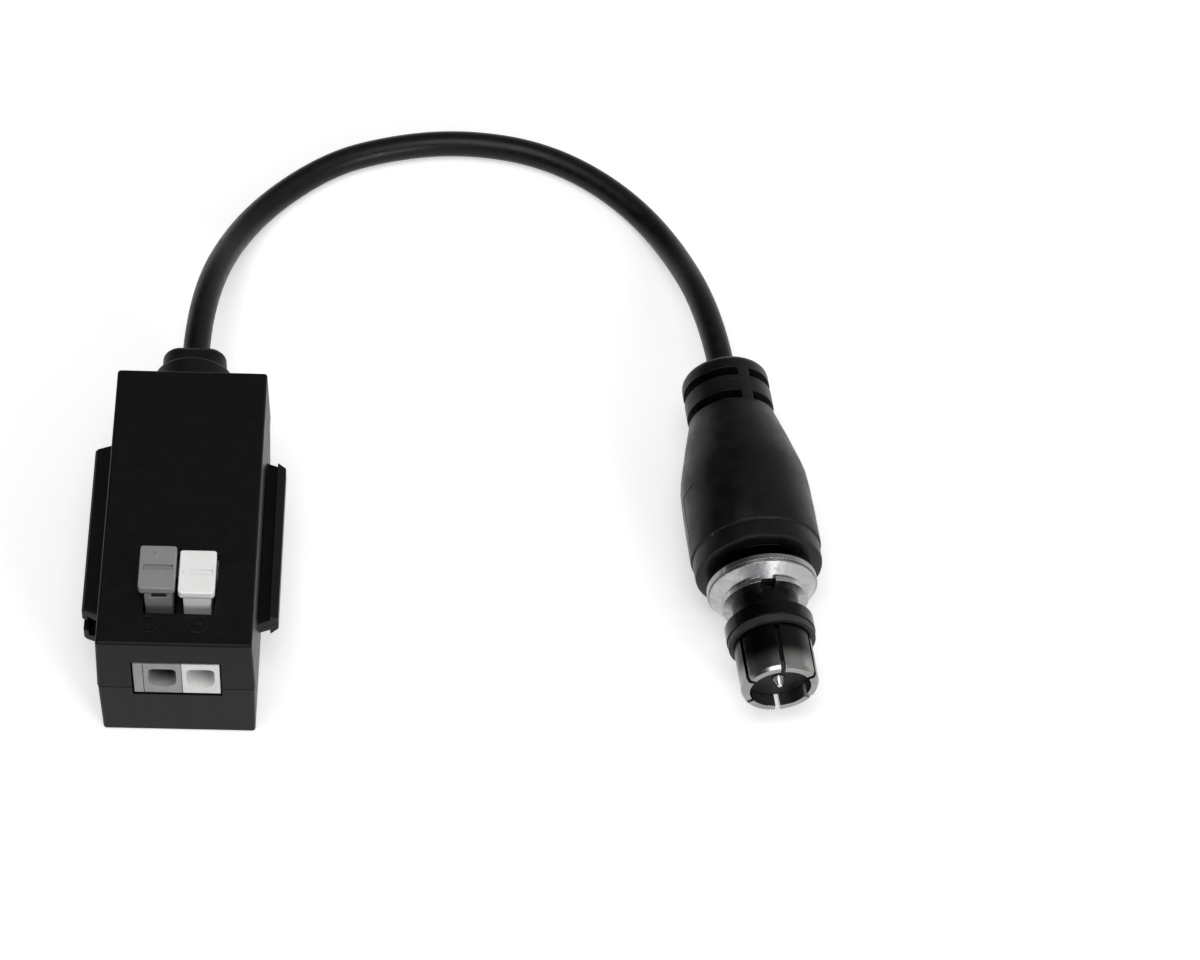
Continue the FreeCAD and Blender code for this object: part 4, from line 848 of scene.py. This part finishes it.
    @classmethod
    def join(cls, first: bpy.types.Object, *others: bpy.types.Object) -> bpy.types.Object:
        """Join pieces into one object.

        Args:
            first: the piece that takes in the others.
            others: the pieces that it takes in.

        Returns:
            The first piece.
        """
        cls.hold(first)
        for other in others:
            other.select_set(True)
        bpy.ops.object.join()
        return first

    @classmethod
    def finish(cls, obj: bpy.types.Object, angle: float = 35.0, flat: bool = False) -> bpy.types.Object:
        """Shade a piece smooth except at edges sharper than the angle.

        Args:
            obj: the piece.
            angle: the limit in degrees.
            flat: keep large faces flat beside their rounded edges.

        Returns:
            The piece.
        """
        cls.hold(obj)
        bpy.ops.object.shade_smooth_by_angle(angle=math.radians(angle))
        if flat:
            step = obj.modifiers.new("weigh", "WEIGHTED_NORMAL")
            step.keep_sharp, step.weight = True, 100
            bpy.ops.object.modifier_apply(modifier=step.name)
        cls.rest()
        return obj

    @classmethod
    def lay(cls, obj: bpy.types.Object, where: Matrix) -> bpy.types.Object:
        """Move a piece to its place and put that place in its mesh.

        Args:
            obj: the piece.
            where: the move, in metres.

        Returns:
            The piece.
        """
        cls.hold(obj)
        obj.matrix_world = where
        bpy.ops.object.transform_apply(location=True, rotation=True, scale=True)
        return obj


def settle(piece: bpy.types.Object, body: Body, *nodes: str) -> bpy.types.Object:
    """Make a piece ride on its body and stand for its solids.

    Args:
        piece: the finished piece.
        body: the body that carries it.
        nodes: the solids that it replaces.

    Returns:
        The piece.
    """
    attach(piece, body.value)
    if nodes:
        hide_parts(*nodes)
    LOG.info("%s rides on %s and stands for %s", piece.name, body.value, ", ".join(nodes) or "itself")
    return piece


def softened(node: str, width: float, finishes: "Finishes", slot: str,
             tools: Sequence[bpy.types.Object] = (), steps: int = 2,
             angle: float = 35.0) -> bpy.types.Object:
    """Make a solid's moulded twin: the same shape with rounded edges.

    Args:
        node: the solid's node name.
        width: size of the rounds, in millimetres.
        finishes: the materials.
        slot: the finish.
        tools: what is cut out of it after its edges are rounded.
        steps: faces across a round.
        angle: edges sharper than this stay sharp, in degrees.

    Returns:
        The twin, in its place.
    """
    piece = Bench.copy_of(node, f"{node}_moulded")
    Bench.soften(piece, width, steps)
    Bench.carve(piece, tools)
    finishes.dress(piece, slot)
    return Bench.finish(piece, angle, flat=True)


# studio
@dataclass
class Studio:
    """Camera, floor, lamps and surroundings."""

    eye: Point = (0.0270, -0.2383, 0.3540)
    azimuth: float = 4.02
    elevation: float = 54.2
    roll: float = 4.66
    lens: float = 117.0
    floor_size: float = 6.0

    def build(self) -> None:
        """Set up everything that isn't part of the object."""
        scene = bpy.context.scene
        scene.view_settings.view_transform = "Standard"
        self.camera()
        self.floor()
        self.surroundings()
        self.lamp("overhead", (-0.06, -0.14, 0.62), (0.03, 0.02, 0.0), 0.46, 2.3)
        self.lamp("window", (0.33, -0.47, 0.26), (0.06, -0.01, 0.007), 0.20, 1.2)

    def camera(self) -> None:
        """Place the camera where the photograph was taken from."""
        az, el, roll = (math.radians(v) for v in (self.azimuth, self.elevation, self.roll))
        ahead = Vector((math.sin(az) * math.cos(el), math.cos(az) * math.cos(el), -math.sin(el)))
        right = Vector((math.cos(az), -math.sin(az), 0.0))
        up = right.cross(ahead)
        across = right * math.cos(roll) + up * math.sin(roll)
        upright = up * math.cos(roll) - right * math.sin(roll)
        turn = Matrix((across, upright, -ahead)).transposed()
        data = bpy.data.cameras.new("camera")
        data.lens, data.sensor_width, data.sensor_fit = self.lens, 36.0, "HORIZONTAL"
        data.clip_start, data.clip_end = 0.01, 20.0
        camera = bpy.data.objects.new("camera", data)
        camera.matrix_world = Matrix.Translation(self.eye) @ turn.to_4x4()
        bpy.context.collection.objects.link(camera)
        bpy.context.scene.camera = camera

    def floor(self) -> None:
        """A pale floor that keeps the object's shadow."""
        Bench.rest()
        bpy.ops.mesh.primitive_plane_add(size=self.floor_size)
        floor = bpy.context.object
        floor.name = "studio_floor"
        material = bpy.data.materials.new("studio_floor")
        material.use_nodes = True
        graph = Graph(material.node_tree)
        shader = next(n for n in graph.tree.nodes if n.type == "BSDF_PRINCIPLED")
        shader.inputs["Roughness"].default_value = 0.9
        shader.inputs["Specular IOR Level"].default_value = 0.1
        where = graph.add("ShaderNodeTexCoord").outputs["Object"]
        tone = graph.noise(where, 60.0, 2.0)
        path = graph.add("ShaderNodeLightPath")
        mirrored = graph.sum("MAXIMUM", path.outputs["Is Glossy Ray"],
                             path.outputs["Is Transmission Ray"])
        paint = graph.tint(tone, (0.83, 0.83, 0.83), (0.85, 0.85, 0.85))
        graph.tree.links.new(graph.tint(graph.sum("MULTIPLY", mirrored, 0.75), paint, (0.0, 0.0, 0.0)),
                             shader.inputs["Base Color"])
        glow = graph.sum("MAXIMUM", graph.sum("MULTIPLY", path.outputs["Is Camera Ray"], 0.42),
                         graph.sum("MULTIPLY", mirrored, 0.8))
        shader.inputs["Emission Color"].default_value = (1, 1, 1, 1)
        graph.tree.links.new(glow, shader.inputs["Emission Strength"])
        floor.data.materials.append(material)

    def surroundings(self) -> None:
        """A soft room: white to the eye, brighter on the right, with the backdrop in mirrors."""
        world = bpy.data.worlds.new("studio_room")
        bpy.context.scene.world = world
        world.use_nodes = True
        graph = Graph(world.node_tree)
        back = next(n for n in graph.tree.nodes if n.type == "BACKGROUND")
        direction = graph.add("ShaderNodeTexCoord").outputs["Generated"]
        parts = graph.add("ShaderNodeSeparateXYZ", {0: direction})
        room = graph.span(parts.outputs["X"], -0.5, 0.6, 0.06, 0.5)
        path = graph.add("ShaderNodeLightPath")
        mirrored = graph.sum("MAXIMUM", path.outputs["Is Glossy Ray"],
                             path.outputs["Is Transmission Ray"])
        backdrop = graph.sum("MULTIPLY", mirrored, graph.span(parts.outputs["Z"], 0.16, 0.04))
        level = graph.sum("MAXIMUM", graph.sum("MAXIMUM", room, backdrop),
                          path.outputs["Is Camera Ray"])
        back.inputs["Color"].default_value = (1, 1, 1, 1)
        graph.tree.links.new(level, back.inputs["Strength"])

    @staticmethod
    def lamp(name: str, where: Point, aim: Point, size: float, power: float) -> None:
        """A square soft lamp.

        Args:
            name: the lamp's name.
            where: its place.
            aim: the point it faces.
            size: its side.
            power: its power in watts.
        """
        data = bpy.data.lights.new(name, "AREA")
        data.shape, data.size, data.energy = "SQUARE", size, power
        lamp = bpy.data.objects.new(name, data)
        lamp.location = where
        lamp.rotation_euler = (Vector(aim) - Vector(where)).to_track_quat("-Z", "Y").to_euler()
        bpy.context.collection.objects.link(lamp)


# the lead
@dataclass
class Lead:
    """The coaxial lead from the strain relief to the boot."""

    radius: float = 1.5
    exit: Point = (-0.0004, 0.0254, 0.0085)
    length: float = 0.1107
    route: list[Point] = field(default_factory=lambda: [
        (-0.4, 25.4, 8.5), (-0.4, 34.4, 8.5), (3.6, 51.1, 1.5), (12.4, 59.9, 1.5),
        (20.7, 63.1, 1.5), (29.2, 64.2, 1.5), (38.3, 62.6, 1.5), (46.3, 57.6, 1.5),
        (52.7, 50.0, 1.5), (57.3597, 34.3145, 7.3), (58.4675, 25.383, 7.3)])

    def build(self, finishes: Finishes) -> bpy.types.Object:
        """Make the lead as a smooth curve along its route.

        Args:
            finishes: the materials.

        Returns:
            The lead.
        """
        data = bpy.data.curves.new("coax_lead", "CURVE")
        data.dimensions = "3D"
        line = data.splines.new("NURBS")
        line.points.add(len(self.route) - 1)
        for place, point in zip(line.points, self.route):
            place.co = (*(Vector(point) * MM), 1.0)
        line.order_u = 3
        line.use_endpoint_u = True
        line.resolution_u = 16
        data.bevel_depth = self.radius * MM
        data.bevel_resolution = 8
        data.use_fill_caps = True
        lead = bpy.data.objects.new("coax_lead", data)
        bpy.context.collection.objects.link(lead)
        finishes.dress(lead, "cable_jacket")
        return settle(lead, Body.HOUSING, "coax_cable")


# housing
@dataclass
class Housing:
    """The two shells, with the polarity marks on the upper one."""

    top: float = 16.5
    marks: dict[str, tuple[float, float]] = field(default_factory=lambda: {
        "plus": (-2.73, -15.2), "minus": (2.36, -15.15)})
    ring_radius: float = 1.08
    ring_width: float = 0.2
    relief: float = 0.11
    bar_length: float = 1.05
    bar_width: float = 0.22
    edge: float = 0.09
    front: float = -17.9
    parting: float = 8.5
    window: tuple[float, float, float, float] = (-4.6, 7.12, 4.8, 13.15)
    groove: float = 0.21

    def build(self, finishes: Finishes) -> None:
        """Finish the shells and add the marks.

        Args:
            finishes: the materials.
        """
        for node in ("upper_shell", "lower_shell"):
            shell = softened(node, self.edge, finishes, "housing", self.gaps(), angle=12.0)
            settle(shell, Body.HOUSING, node)
        for sign, middle in self.marks.items():
            settle(self.mark(sign, middle, finishes), Body.HOUSING)

    def gaps(self) -> list[bpy.types.Object]:
        """The tools for the dark gap round the terminal block and the groove at the parting line.

        Returns:
            The two tools.
        """
        left, bottom, right, top = self.window
        half = self.groove / 2
        return [Bench.cube("window_gap", (left, self.front - 1, bottom), (right, self.front + 0.9, top)),
                Bench.cube("parting_groove", (-9, self.front - 1, self.parting - half),
                           (9, self.front + 0.5, self.parting + half))]

    def mark(self, sign: str, middle: tuple[float, float], finishes: Finishes) -> bpy.types.Object:
        """A raised ring with a plus or a minus in it.

        Args:
            sign: plus or minus.
            middle: where it stands on the top face.
            finishes: the materials.

        Returns:
            The mark.
        """
        base, rise = self.top - 0.03, self.top + self.relief
        outer, inner = self.ring_radius, self.ring_radius - self.ring_width
        ring = Bench.turned(f"polarity_{sign}", [(inner, base), (outer, base), (outer, rise),
                                                 (inner, rise)], 48)
        Bench.soften(ring, 0.03, 2)
        half, thin = self.bar_length / 2, self.bar_width / 2
        bar = Bench.cube("bar", (-half, -thin, base), (half, thin, rise))
        if sign == "plus":
            with Bench.shaping(bar, "EDGE"):
                bpy.ops.mesh.select_all(action="SELECT")
            Bench.carve(bar, [Bench.cube("upright", (-thin, -half, base), (thin, half, rise))], "UNION")
        Bench.soften(bar, 0.03, 2)
        Bench.lay(Bench.join(ring, bar), Matrix.Translation(Vector((*middle, 0.0)) * MM))
        finishes.dress(ring, "housing")
        return Bench.finish(ring)


# terminal block
@dataclass(frozen=True)
class ModuleSide:
    """What differs between the grey and the white half of the terminal block.

    Attributes:
        tone: grey or white.
        body: the body that carries its lever.
        left: the module's open side.
        middle: the push plate's middle, across the housing.
        top: the push plate's top.
        gate: whether the lever has a notch and a raised gate mark.
    """

    tone: str
    body: Body
    left: float
    middle: float
    top: float
    gate: bool


@dataclass
class TerminalBlock:
    """The two wire modules with their end plate, levers, springs and contacts."""

    solids: dict[str, str] = field(default_factory=lambda: {
        "grey_clamp_spring": "spring_steel", "white_clamp_spring": "spring_steel",
        "grey_contact": "tinned_copper", "white_contact": "tinned_copper"})
    sides: tuple[ModuleSide, ...] = (
        ModuleSide("grey", Body.GREY_LEVER, -3.35, -2.0, 19.1, True),
        ModuleSide("white", Body.WHITE_LEVER, 0.65, 2.1, 18.4, False))
    width: float = 3.95
    wall: float = 0.95
    nose: tuple[float, float, float] = (-14.2, 7.45, 12.85)
    block_edge: float = 0.05
    stem_edge: float = 0.08
    plate: tuple[float, float, float] = (1.9, -12.5, -7.1)
    plate_thick: float = 0.92
    plate_edge: float = 0.14
    grip: tuple[float, float, float] = (0.42, 0.28, 0.4)
    grip_half: float = 0.33
    front: float = -17.75
    entry_side: float = 1.95
    entry_level: float = 10.25
    entry_half: float = 1.5
    entry_rise: float = 1.7
    entry_drop: float = 1.76
    corner: float = 0.6
    floor_corner: float = 1.3
    depth: float = 3.9
    throat: float = 0.72

    def build(self, finishes: Finishes) -> None:
        """Finish the block's solids and model the moulded ones that show.

        Args:
            finishes: the materials.
        """
        for node, slot in self.solids.items():
            finishes.dress_node(node, slot)
        for side in self.sides:
            settle(self.lever(side, finishes), side.body, f"{side.tone}_lever")
            settle(self.module(side, finishes), Body.HOUSING, f"{side.tone}_terminal_module")
        plate = softened("terminal_end_plate", self.block_edge, finishes, "terminal_grey",
                         [self.well(-3.9, -3.3)])
        settle(plate, Body.HOUSING, "terminal_end_plate")

    @staticmethod
    def well(left: float, right: float) -> bpy.types.Object:
        """A tool that lowers a chamber wall beside the lever stems, where it is in the dark.

        Args:
            left: its left side.
            right: its right side.

        Returns:
            The tool.
        """
        return Bench.cube("well", (left, -13.9, 11.2), (right, -8.5, 15.5))

    def module(self, side: ModuleSide, finishes: Finishes) -> bpy.types.Object:
        """A wire module: the solid behind the front wall with a new nose.

        Args:
            side: which of the two.
            finishes: the materials.

        Returns:
            The module.
        """
        back, bottom, top = self.nose
        right = side.left + self.width
        body = Bench.copy_of(f"{side.tone}_terminal_module", f"{side.tone}_terminal_module_moulded")
        Bench.carve(body, [
            Bench.cube("nose_off", (side.left - 1, -19, bottom - 1), (right + 1, back - 0.1, top + 1)),
            self.well(right - self.wall - 0.04, right + 0.1)])
        nose = Bench.cube("nose", (side.left, self.front, bottom), (right, back, top))
        Bench.round_edges(nose, self.block_edge, 2, lambda a, b: True)
        Bench.carve(nose, self.entry(side.left + self.entry_side))
        finishes.dress(Bench.join(body, nose), f"terminal_{side.tone}")
        return Bench.finish(body, 32.0, flat=True)

    def lever(self, side: ModuleSide, finishes: Finishes) -> bpy.types.Object:
        """A push lever: the solid's stem with a new push plate.

        Args:
            side: which of the two.
            finishes: the materials.

        Returns:
            The lever.
        """
        half, front, back = self.plate
        under = side.top - self.plate_thick
        body = Bench.copy_of(f"{side.tone}_lever", f"{side.tone}_lever_moulded")
        Bench.carve(body, [Bench.cube("plate_off", (-8, -16, under + 0.05), (8, -5, side.top + 1))])
        Bench.soften(body, self.stem_edge)
        if side.gate:
            Bench.carve(body, [
                Bench.cube("notch", (side.left + 0.75, front - 1, under - 0.7),
                           (side.left + 2.25, front + 0.9, under - 0.12)),
                Bench.cube("notch_well", (side.left + 0.77, front + 0.25, under - 2.0),
                           (side.left + 2.23, front + 1.4, under - 0.1))])
        low, high = side.middle - half, side.middle + half
        plate = Bench.cube("push_plate", (low, front, under), (high, back, side.top))
        for level, corner in ((front, 0.45), (back, 0.3)):
            Bench.round_edges(plate, corner, 6, lambda a, b, y=level: abs(a.z - b.z) > 0.5
                              and abs(a.y - y) < 0.01 and abs(b.y - y) < 0.01)
        Bench.round_edges(plate, self.plate_edge, 4, lambda a, b: min(a.z, b.z) > side.top - 0.01)
        near, far, deep = self.grip
        grip_y = (front + back) / 2
        groove = Bench.cube("grip", (low + near, grip_y - self.grip_half, side.top - deep),
                            (high - far, grip_y + self.grip_half, side.top + 1))
        Bench.round_edges(groove, 0.12, 3, lambda a, b: max(a.z, b.z) < side.top - deep + 0.01)
        Bench.carve(plate, [groove])
        pieces = [plate]
        if side.gate:
            pip = Bench.rod("gate", 0.26, (side.middle - 0.2, back - 1.15, side.top - 0.2),
                            (side.middle - 0.2, back - 1.15, side.top + 0.09), 24)
            Bench.round_edges(pip, 0.08, 3, lambda a, b: min(a.z, b.z) > side.top + 0.08)
            pieces.append(pip)
        finishes.dress(Bench.join(body, *pieces), f"lever_{side.tone}")
        return Bench.finish(body, 32.0, flat=True)

    def entry(self, middle: float) -> list[bpy.types.Object]:
        """The tool that cuts a wire entry: a flat top with small corners over a rounded floor.

        Args:
            middle: the entry's middle, across the block.

        Returns:
            The tool alone in a list.
        """
        low, high = self.entry_level - self.entry_drop, self.entry_level + self.entry_rise
        back = self.front + self.depth
        tool = Bench.cube("entry", (middle - self.entry_half, self.front - 0.5, low),
                          (middle + self.entry_half, back, high))
        for level, corner in ((high, self.corner), (low, self.floor_corner)):
            Bench.round_edges(tool, corner, 10, lambda a, b, z=level: abs(a.y - b.y) > 1
                              and abs(a.z - z) < 0.01 and abs(b.z - z) < 0.01)
        with Bench.shaping(tool, "VERT") as mesh:
            Bench.pick(tool, [v for v in mesh.verts if abs(v.co.y / MM - back) < 0.001])
            bpy.ops.transform.resize(value=(self.throat, 1, self.throat),
                                     center_override=Vector((middle, 0, self.entry_level)) * MM)
        return [tool]


# inside the housing
@dataclass
class Electronics:
    """The board with its transformer, chip parts and the lead's two ends."""

    solids: dict[str, str] = field(default_factory=lambda: {
        "circuit_board": "board_laminate", "toroid_core": "ferrite",
        "toroid_winding": "winding_copper", "surge_diode": "chip_black",
        "chip_capacitor": "chip_tan", "cable_centre_lead": "tinned_copper",
        "cable_screen_lead": "tinned_copper"})

    def build(self, finishes: Finishes) -> None:
        """Finish the solids inside the housing.

        Args:
            finishes: the materials.
        """
        for node, slot in self.solids.items():
            finishes.dress_node(node, slot)


# plug
PLUG_PLACE = Matrix.Translation(PLUG_FRONT) @ Matrix((
    (-math.cos(PLUG_YAW), 0.0, -math.sin(PLUG_YAW)),
    (-math.sin(PLUG_YAW), 0.0, math.cos(PLUG_YAW)),
    (0.0, 1.0, 0.0))).to_4x4()


@dataclass
class CouplingNut:
    """The bayonet nut; its section gives radius and distance from the front."""

    section: Section = field(default_factory=lambda: [
        (5.98, 0.0), (6.98, 0.0), (7.15, 0.17), (7.15, 1.65), (6.95, 1.9), (6.2, 2.15), (5.65, 2.55),
        (5.36, 3.05), (5.28, 3.6), (5.28, 8.1), (5.45, 8.42), (6.15, 8.62), (6.45, 8.78),
        (6.62, 9.0), (6.72, 9.18), (7.1, 9.28), (7.3, 9.45), (7.3, 9.65), (7.3, 9.85), (7.3, 10.1),
        (7.3, 13.0), (7.3, 13.25), (7.3, 13.45), (7.3, 14.75), (7.1, 15.12), (6.9, 15.2),
        (3.68, 15.2), (3.68, 13.85), (6.2, 13.85), (6.2, 9.9), (4.9, 9.9), (4.9, 1.1), (5.93, 0.12)])
    ribs: int = 44
    columns: int = 6
    knurl_radius: float = 7.3
    knurl_depth: float = 0.3
    knurl_rings: tuple[tuple[float, float], ...] = ((9.85, 1.0), (10.1, 1.0), (13.0, 1.0),
                                                    (13.25, 1.0))
    rib_shape: tuple[float, ...] = (0.0, 0.1, 0.62, 1.0, 0.62, 0.1)
    slot_width: float = 2.05
    slot_radii: tuple[float, float] = (3.7, 6.48)
    slot_front: float = 6.6
    slot_back: float = 7.65
    slot_turn: float = 80.0
    detent_angle: float = 69.0
    channel_radius: float = 5.15
    steps: int = 20

    def build(self, finishes: Finishes) -> bpy.types.Object:
        """Turn, knurl and slot the nut.

        Args:
            finishes: the materials.

        Returns:
            The nut, in its place on the plug.
        """
        nut = Bench.turned("bayonet_nut", self.section, self.ribs * self.columns)
        self.knurl(nut)
        for _ in range(2):
            Bench.carve(nut, self.slot())
            Bench.lay(nut, Matrix.Rotation(math.pi, 4, "Z"))
        finishes.dress(nut, "nickel")
        Bench.finish(Bench.lay(nut, PLUG_PLACE), 40.0)
        return settle(nut, Body.COUPLING_NUT, "coupling_nut")

    def knurl(self, nut: bpy.types.Object) -> None:
        """Press the grooves between the ribs in, shallower where they run out.

        Args:
            nut: the turned nut.
        """
        column_angle = math.tau / (self.ribs * self.columns)
        for level, ring_share in self.knurl_rings:
            for column in range(1, self.columns // 2 + 1):
                share = self.rib_shape[column] * ring_share
                factor = 1 - self.knurl_depth * share / self.knurl_radius
                wanted = {column, self.columns - column}
                with Bench.shaping(nut, "VERT") as mesh:
                    chosen = [v for v in mesh.verts if abs(v.co.z / MM - level) < 0.01
                              and v.co.xy.length / MM > self.knurl_radius - 0.02
                              and round(math.atan2(v.co.y, v.co.x) / column_angle)
                              % self.columns in wanted]
                    Bench.pick(nut, chosen)
                    bpy.ops.transform.resize(value=(factor, factor, 1), center_override=(0, 0, 0))

    def slot(self) -> list[bpy.types.Object]:
        """The tools that cut one helical slot with its round ends and its entry channel.

        Returns:
            The tools, in place on the nut's own axis.
        """
        inner, outer = self.slot_radii
        half = self.slot_width / 2
        first = self.detent_angle - self.slot_turn
        ramp = Bench.cube("slot_ramp", (inner, -0.0005, self.slot_front - half),
                          (outer, 0.0005, self.slot_front + half))
        with Bench.shaping(ramp, "FACE") as mesh:
            Bench.pick(ramp, [f for f in mesh.faces if f.normal.y > 0.9])
            rise = (self.slot_back - self.slot_front) / self.steps
            for _ in range(self.steps):
                bpy.ops.mesh.extrude_region_move(TRANSFORM_OT_translate={"value": (0, 0, rise * MM)})
                bpy.ops.transform.rotate(value=-math.radians(self.slot_turn / self.steps),
                                         orient_axis="Z", center_override=(0, 0, 0))
            bpy.ops.mesh.select_all(action="SELECT")
            bpy.ops.mesh.normals_make_consistent(inside=False)
        channel = Bench.cube("slot_channel", (inner, -half, -1.0),
                             (self.channel_radius, half, self.slot_front))
        for tool in (ramp, channel):
            Bench.lay(tool, Matrix.Rotation(math.radians(first), 4, "Z"))
        ends = []
        for angle, level in ((first, self.slot_front), (first + self.slot_turn, self.slot_back)):
            away = Vector((math.cos(math.radians(angle)), math.sin(math.radians(angle)), 0))
            ends.append(Bench.rod("slot_end", half + 0.02, away * inner + Vector((0, 0, level)),
                                  away * outer + Vector((0, 0, level)), 48))
        return [ramp, channel, *ends]


@dataclass
class Boot:
    """The moulded boot; its section gives radius and distance from the plug's front."""

    section: Section = field(default_factory=lambda: [
        (2.95, 24.4), (2.95, 16.35), (5.55, 16.35), (5.55, 15.5), (6.7, 15.5), (6.9, 15.62),
        (6.96, 15.9), (6.96, 17.7), (7.02, 17.72), (7.12, 17.8), (7.16, 17.95), (7.15, 22.0),
        (7.1, 25.0), (7.0, 26.8), (6.75, 28.2), (6.4, 29.6), (5.8, 32.0), (5.25, 34.0), (4.93, 35.1),
        (4.86, 35.5), (4.86, 40.8), (4.8, 41.1), (4.62, 41.4), (4.4, 41.6), (4.06, 41.7)])
    rows: tuple[float, float] = (35.5, 38.65)
    row_width: float = 1.15
    row_floor: float = 3.36
    bridge: float = 1.3
    bridge_angle: float = 18.0
    seam: tuple[tuple[float, float, float], ...] = (
        (9.0, 7.17, 18.1), (9.0, 7.14, 24.9), (17.0, 7.14, 25.0), (25.0, 7.14, 25.1), (33.0, 7.13, 25.2))
    seam_radius: float = 0.1

    def build(self, finishes: Finishes) -> bpy.types.Object:
        """Turn the boot and cut its flex slots and the seam of its mould.

        Args:
            finishes: the materials.

        Returns:
            The boot, in its place on the plug.
        """
        boot = Bench.turned("plug_boot_moulded", self.section, 128, closed=False)
        for level in self.rows:
            ring = Bench.turned("flex_row", [(self.row_floor, level), (6.0, level),
                                             (6.0, level + self.row_width),
                                             (self.row_floor, level + self.row_width)], 96)
            bridge = Bench.cube("bridge", (-self.bridge / 2, -8, level - 1),
                                (self.bridge / 2, 8, level + self.row_width + 1))
            Bench.lay(bridge, Matrix.Rotation(math.radians(self.bridge_angle), 4, "Z"))
            Bench.carve(boot, [Bench.carve(ring, [bridge])])
        points = [(radius * math.cos(math.radians(angle)), radius * math.sin(math.radians(angle)), level)
                  for angle, radius, level in self.seam]
        Bench.carve(boot, [Bench.rod("seam", self.seam_radius, *pair, 12)
                           for pair in zip(points, points[1:])])
        finishes.dress(boot, "boot_black")
        Bench.finish(Bench.lay(boot, PLUG_PLACE))
        return settle(boot, Body.HOUSING, "plug_boot")


@dataclass
class Plug:
    """The bayonet plug; the solids inside it keep their shape."""

    solids: dict[str, str] = field(default_factory=lambda: {
        "plug_body": "body_nickel", "plug_insulator": "insulator_dark",
        "centre_pin": "contact_bright", "sealing_gasket": "gasket_rubber",
        "retaining_ring": "spring_steel", "spring_washer": "spring_steel", "thrust_washer": "nickel",
        "crimp_ferrule": "nickel"})
    relief_edge: float = 0.3

    def build(self, finishes: Finishes) -> list[bpy.types.Object]:
        """Finish the plug's solids and model its nut and boot.

        Args:
            finishes: the materials.

        Returns:
            The pieces that sit on the lead.
        """
        for node, slot in self.solids.items():
            finishes.dress_node(node, slot)
        relief = softened("strain_relief", self.relief_edge, finishes, "relief_rubber", steps=4)
        return [Boot().build(finishes), settle(relief, Body.HOUSING, "strain_relief"),
                CouplingNut().build(finishes), *(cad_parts[name] for name in self.solids)]


def main() -> None:
    """Build the studio and the balun, and report each piece."""
    logging.basicConfig(level=logging.INFO, format="%(name)s: %(message)s")
    Studio().build()
    finishes = Finishes(Effects())
    lead = Lead()
    cord = lead.build(finishes)
    Housing().build(finishes)
    TerminalBlock().build(finishes)
    Electronics().build(finishes)
    Plug().build(finishes)


if __name__ == "__main__":
    main()
